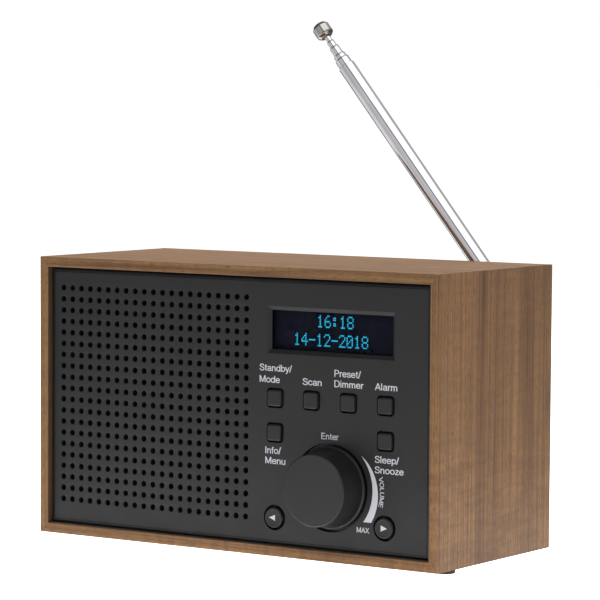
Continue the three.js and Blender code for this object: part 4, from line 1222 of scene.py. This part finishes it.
def pale_floor():
    """A white floor. It is brighter near the radio, and what mirrors it behind the radio sees it darker."""
    reach = 8
    sheet = bpy.data.meshes.new("floor")
    corners = [(-reach, -reach, 0), (reach, -reach, 0), (reach, reach, 0), (-reach, reach, 0)]
    sheet.from_pydata(corners, [], [(0, 1, 2, 3)])
    floor = bpy.data.objects.new("floor", sheet)
    bpy.context.scene.collection.objects.link(floor)
    paint = Paint("floor", Roughness=0.9, Specular_IOR_Level=0.1, Emission_Color=WHITE)
    away = paint.add("VectorMath", {0: paint.where()}, operation="LENGTH").outputs["Value"]
    glossy = paint.add("LightPath").outputs["Is Glossy Ray"]
    behind = paint.span(paint.add("SeparateXYZ", {0: paint.where()}).outputs["Y"], 0.05, 0.25, 0, 1)
    hidden = paint.times(glossy, behind)
    seen = paint.span(away, 0.10, 0.34, 2.2, 0.84)
    mirrored = paint.span(away, 0.10, 0.34, 2.35, 0.62)
    level = paint.times(paint.blend(glossy, seen, mirrored), paint.span(hidden, 0, 1, 1, 0.15))
    paint.feed(paint.shader.inputs["Emission Strength"], level)
    sheet.materials.append(paint.finish(paint.ramp(hidden, *grey_stops([(0, 0.5), (1, 0.08)]))))


def sky():
    """White to the camera, soft light on matt surfaces, and the fan of strips to polished ones."""
    world = bpy.data.worlds.new("studio")
    world.use_nodes = True
    bpy.context.scene.world = world
    nodes = Nodes(world.node_tree)
    direction = nodes.add("TexCoord").outputs["Generated"]
    toward, aside, lengthways = (
        nodes.add("VectorMath", {0: direction, 1: way}, operation="DOT_PRODUCT").outputs["Value"]
        for way in (*FAN, LINE)
    )
    turn = nodes.span(nodes.calc("ARCTAN2", aside, toward), -math.pi, math.pi, 0, 1)
    strips = nodes.ramp(turn, *grey_stops([((degrees + 180) / 360, level) for degrees, level in STRIPS]))
    spread = nodes.ramp(lengthways, *grey_stops(SPREAD))
    fan, soft, plain = (
        nodes.add("Background", {"Color": colour, "Strength": strength}).outputs[0]
        for colour, strength in ((strips, spread), (WHITE, 0.42), (WHITE, 1.0))
    )
    rays = nodes.add("LightPath").outputs
    lit = nodes.add("MixShader", {0: rays["Is Glossy Ray"], 1: soft, 2: fan}).outputs[0]
    seen = nodes.add("MixShader", {0: rays["Is Camera Ray"], 1: lit, 2: plain}).outputs[0]
    nodes.feed(nodes.tree.nodes["World Output"].inputs["Surface"], seen)


def studio():
    bpy.context.scene.view_settings.view_transform = "Standard"
    pale_floor()
    sky()
    softbox("top_light", (0.1, 0.1, 1.3), (0, 0, 0.05), 1.2, 1.0, 16)
    softbox("rear_light", (-0.4, 0.9, 1.0), (0, 0, 0.1), 0.8, 0.6, 15)
    softbox("left_light", (-1.1, -0.9, 0.7), (0, 0, 0.08), 0.9, 0.9, 3)
    softbox("right_light", (1.3, -0.2, 0.6), (0, 0, 0.06), 0.8, 0.8, 2)


def softbox(name, place, target, width, height, power):
    light = bpy.data.lights.new(name, "AREA")
    light.shape = "RECTANGLE"
    light.size, light.size_y = width, height
    light.energy = power
    lamp = bpy.data.objects.new(name, light)
    bpy.context.scene.collection.objects.link(lamp)
    lamp.location = place
    lamp.rotation_euler = (Vector(target) - Vector(place)).to_track_quat("-Z", "Y").to_euler()
    lamp.visible_camera = False
    lamp.visible_glossy = False


# ---- assembly

sleeve()
feet()
front_panel()
square_keys()
round_keys()
knob()
legends()
display()
antenna()
fork()
rear_cover()
power_inlet()
headphone_socket()
rear_screws()
keep_nodes()
studio()
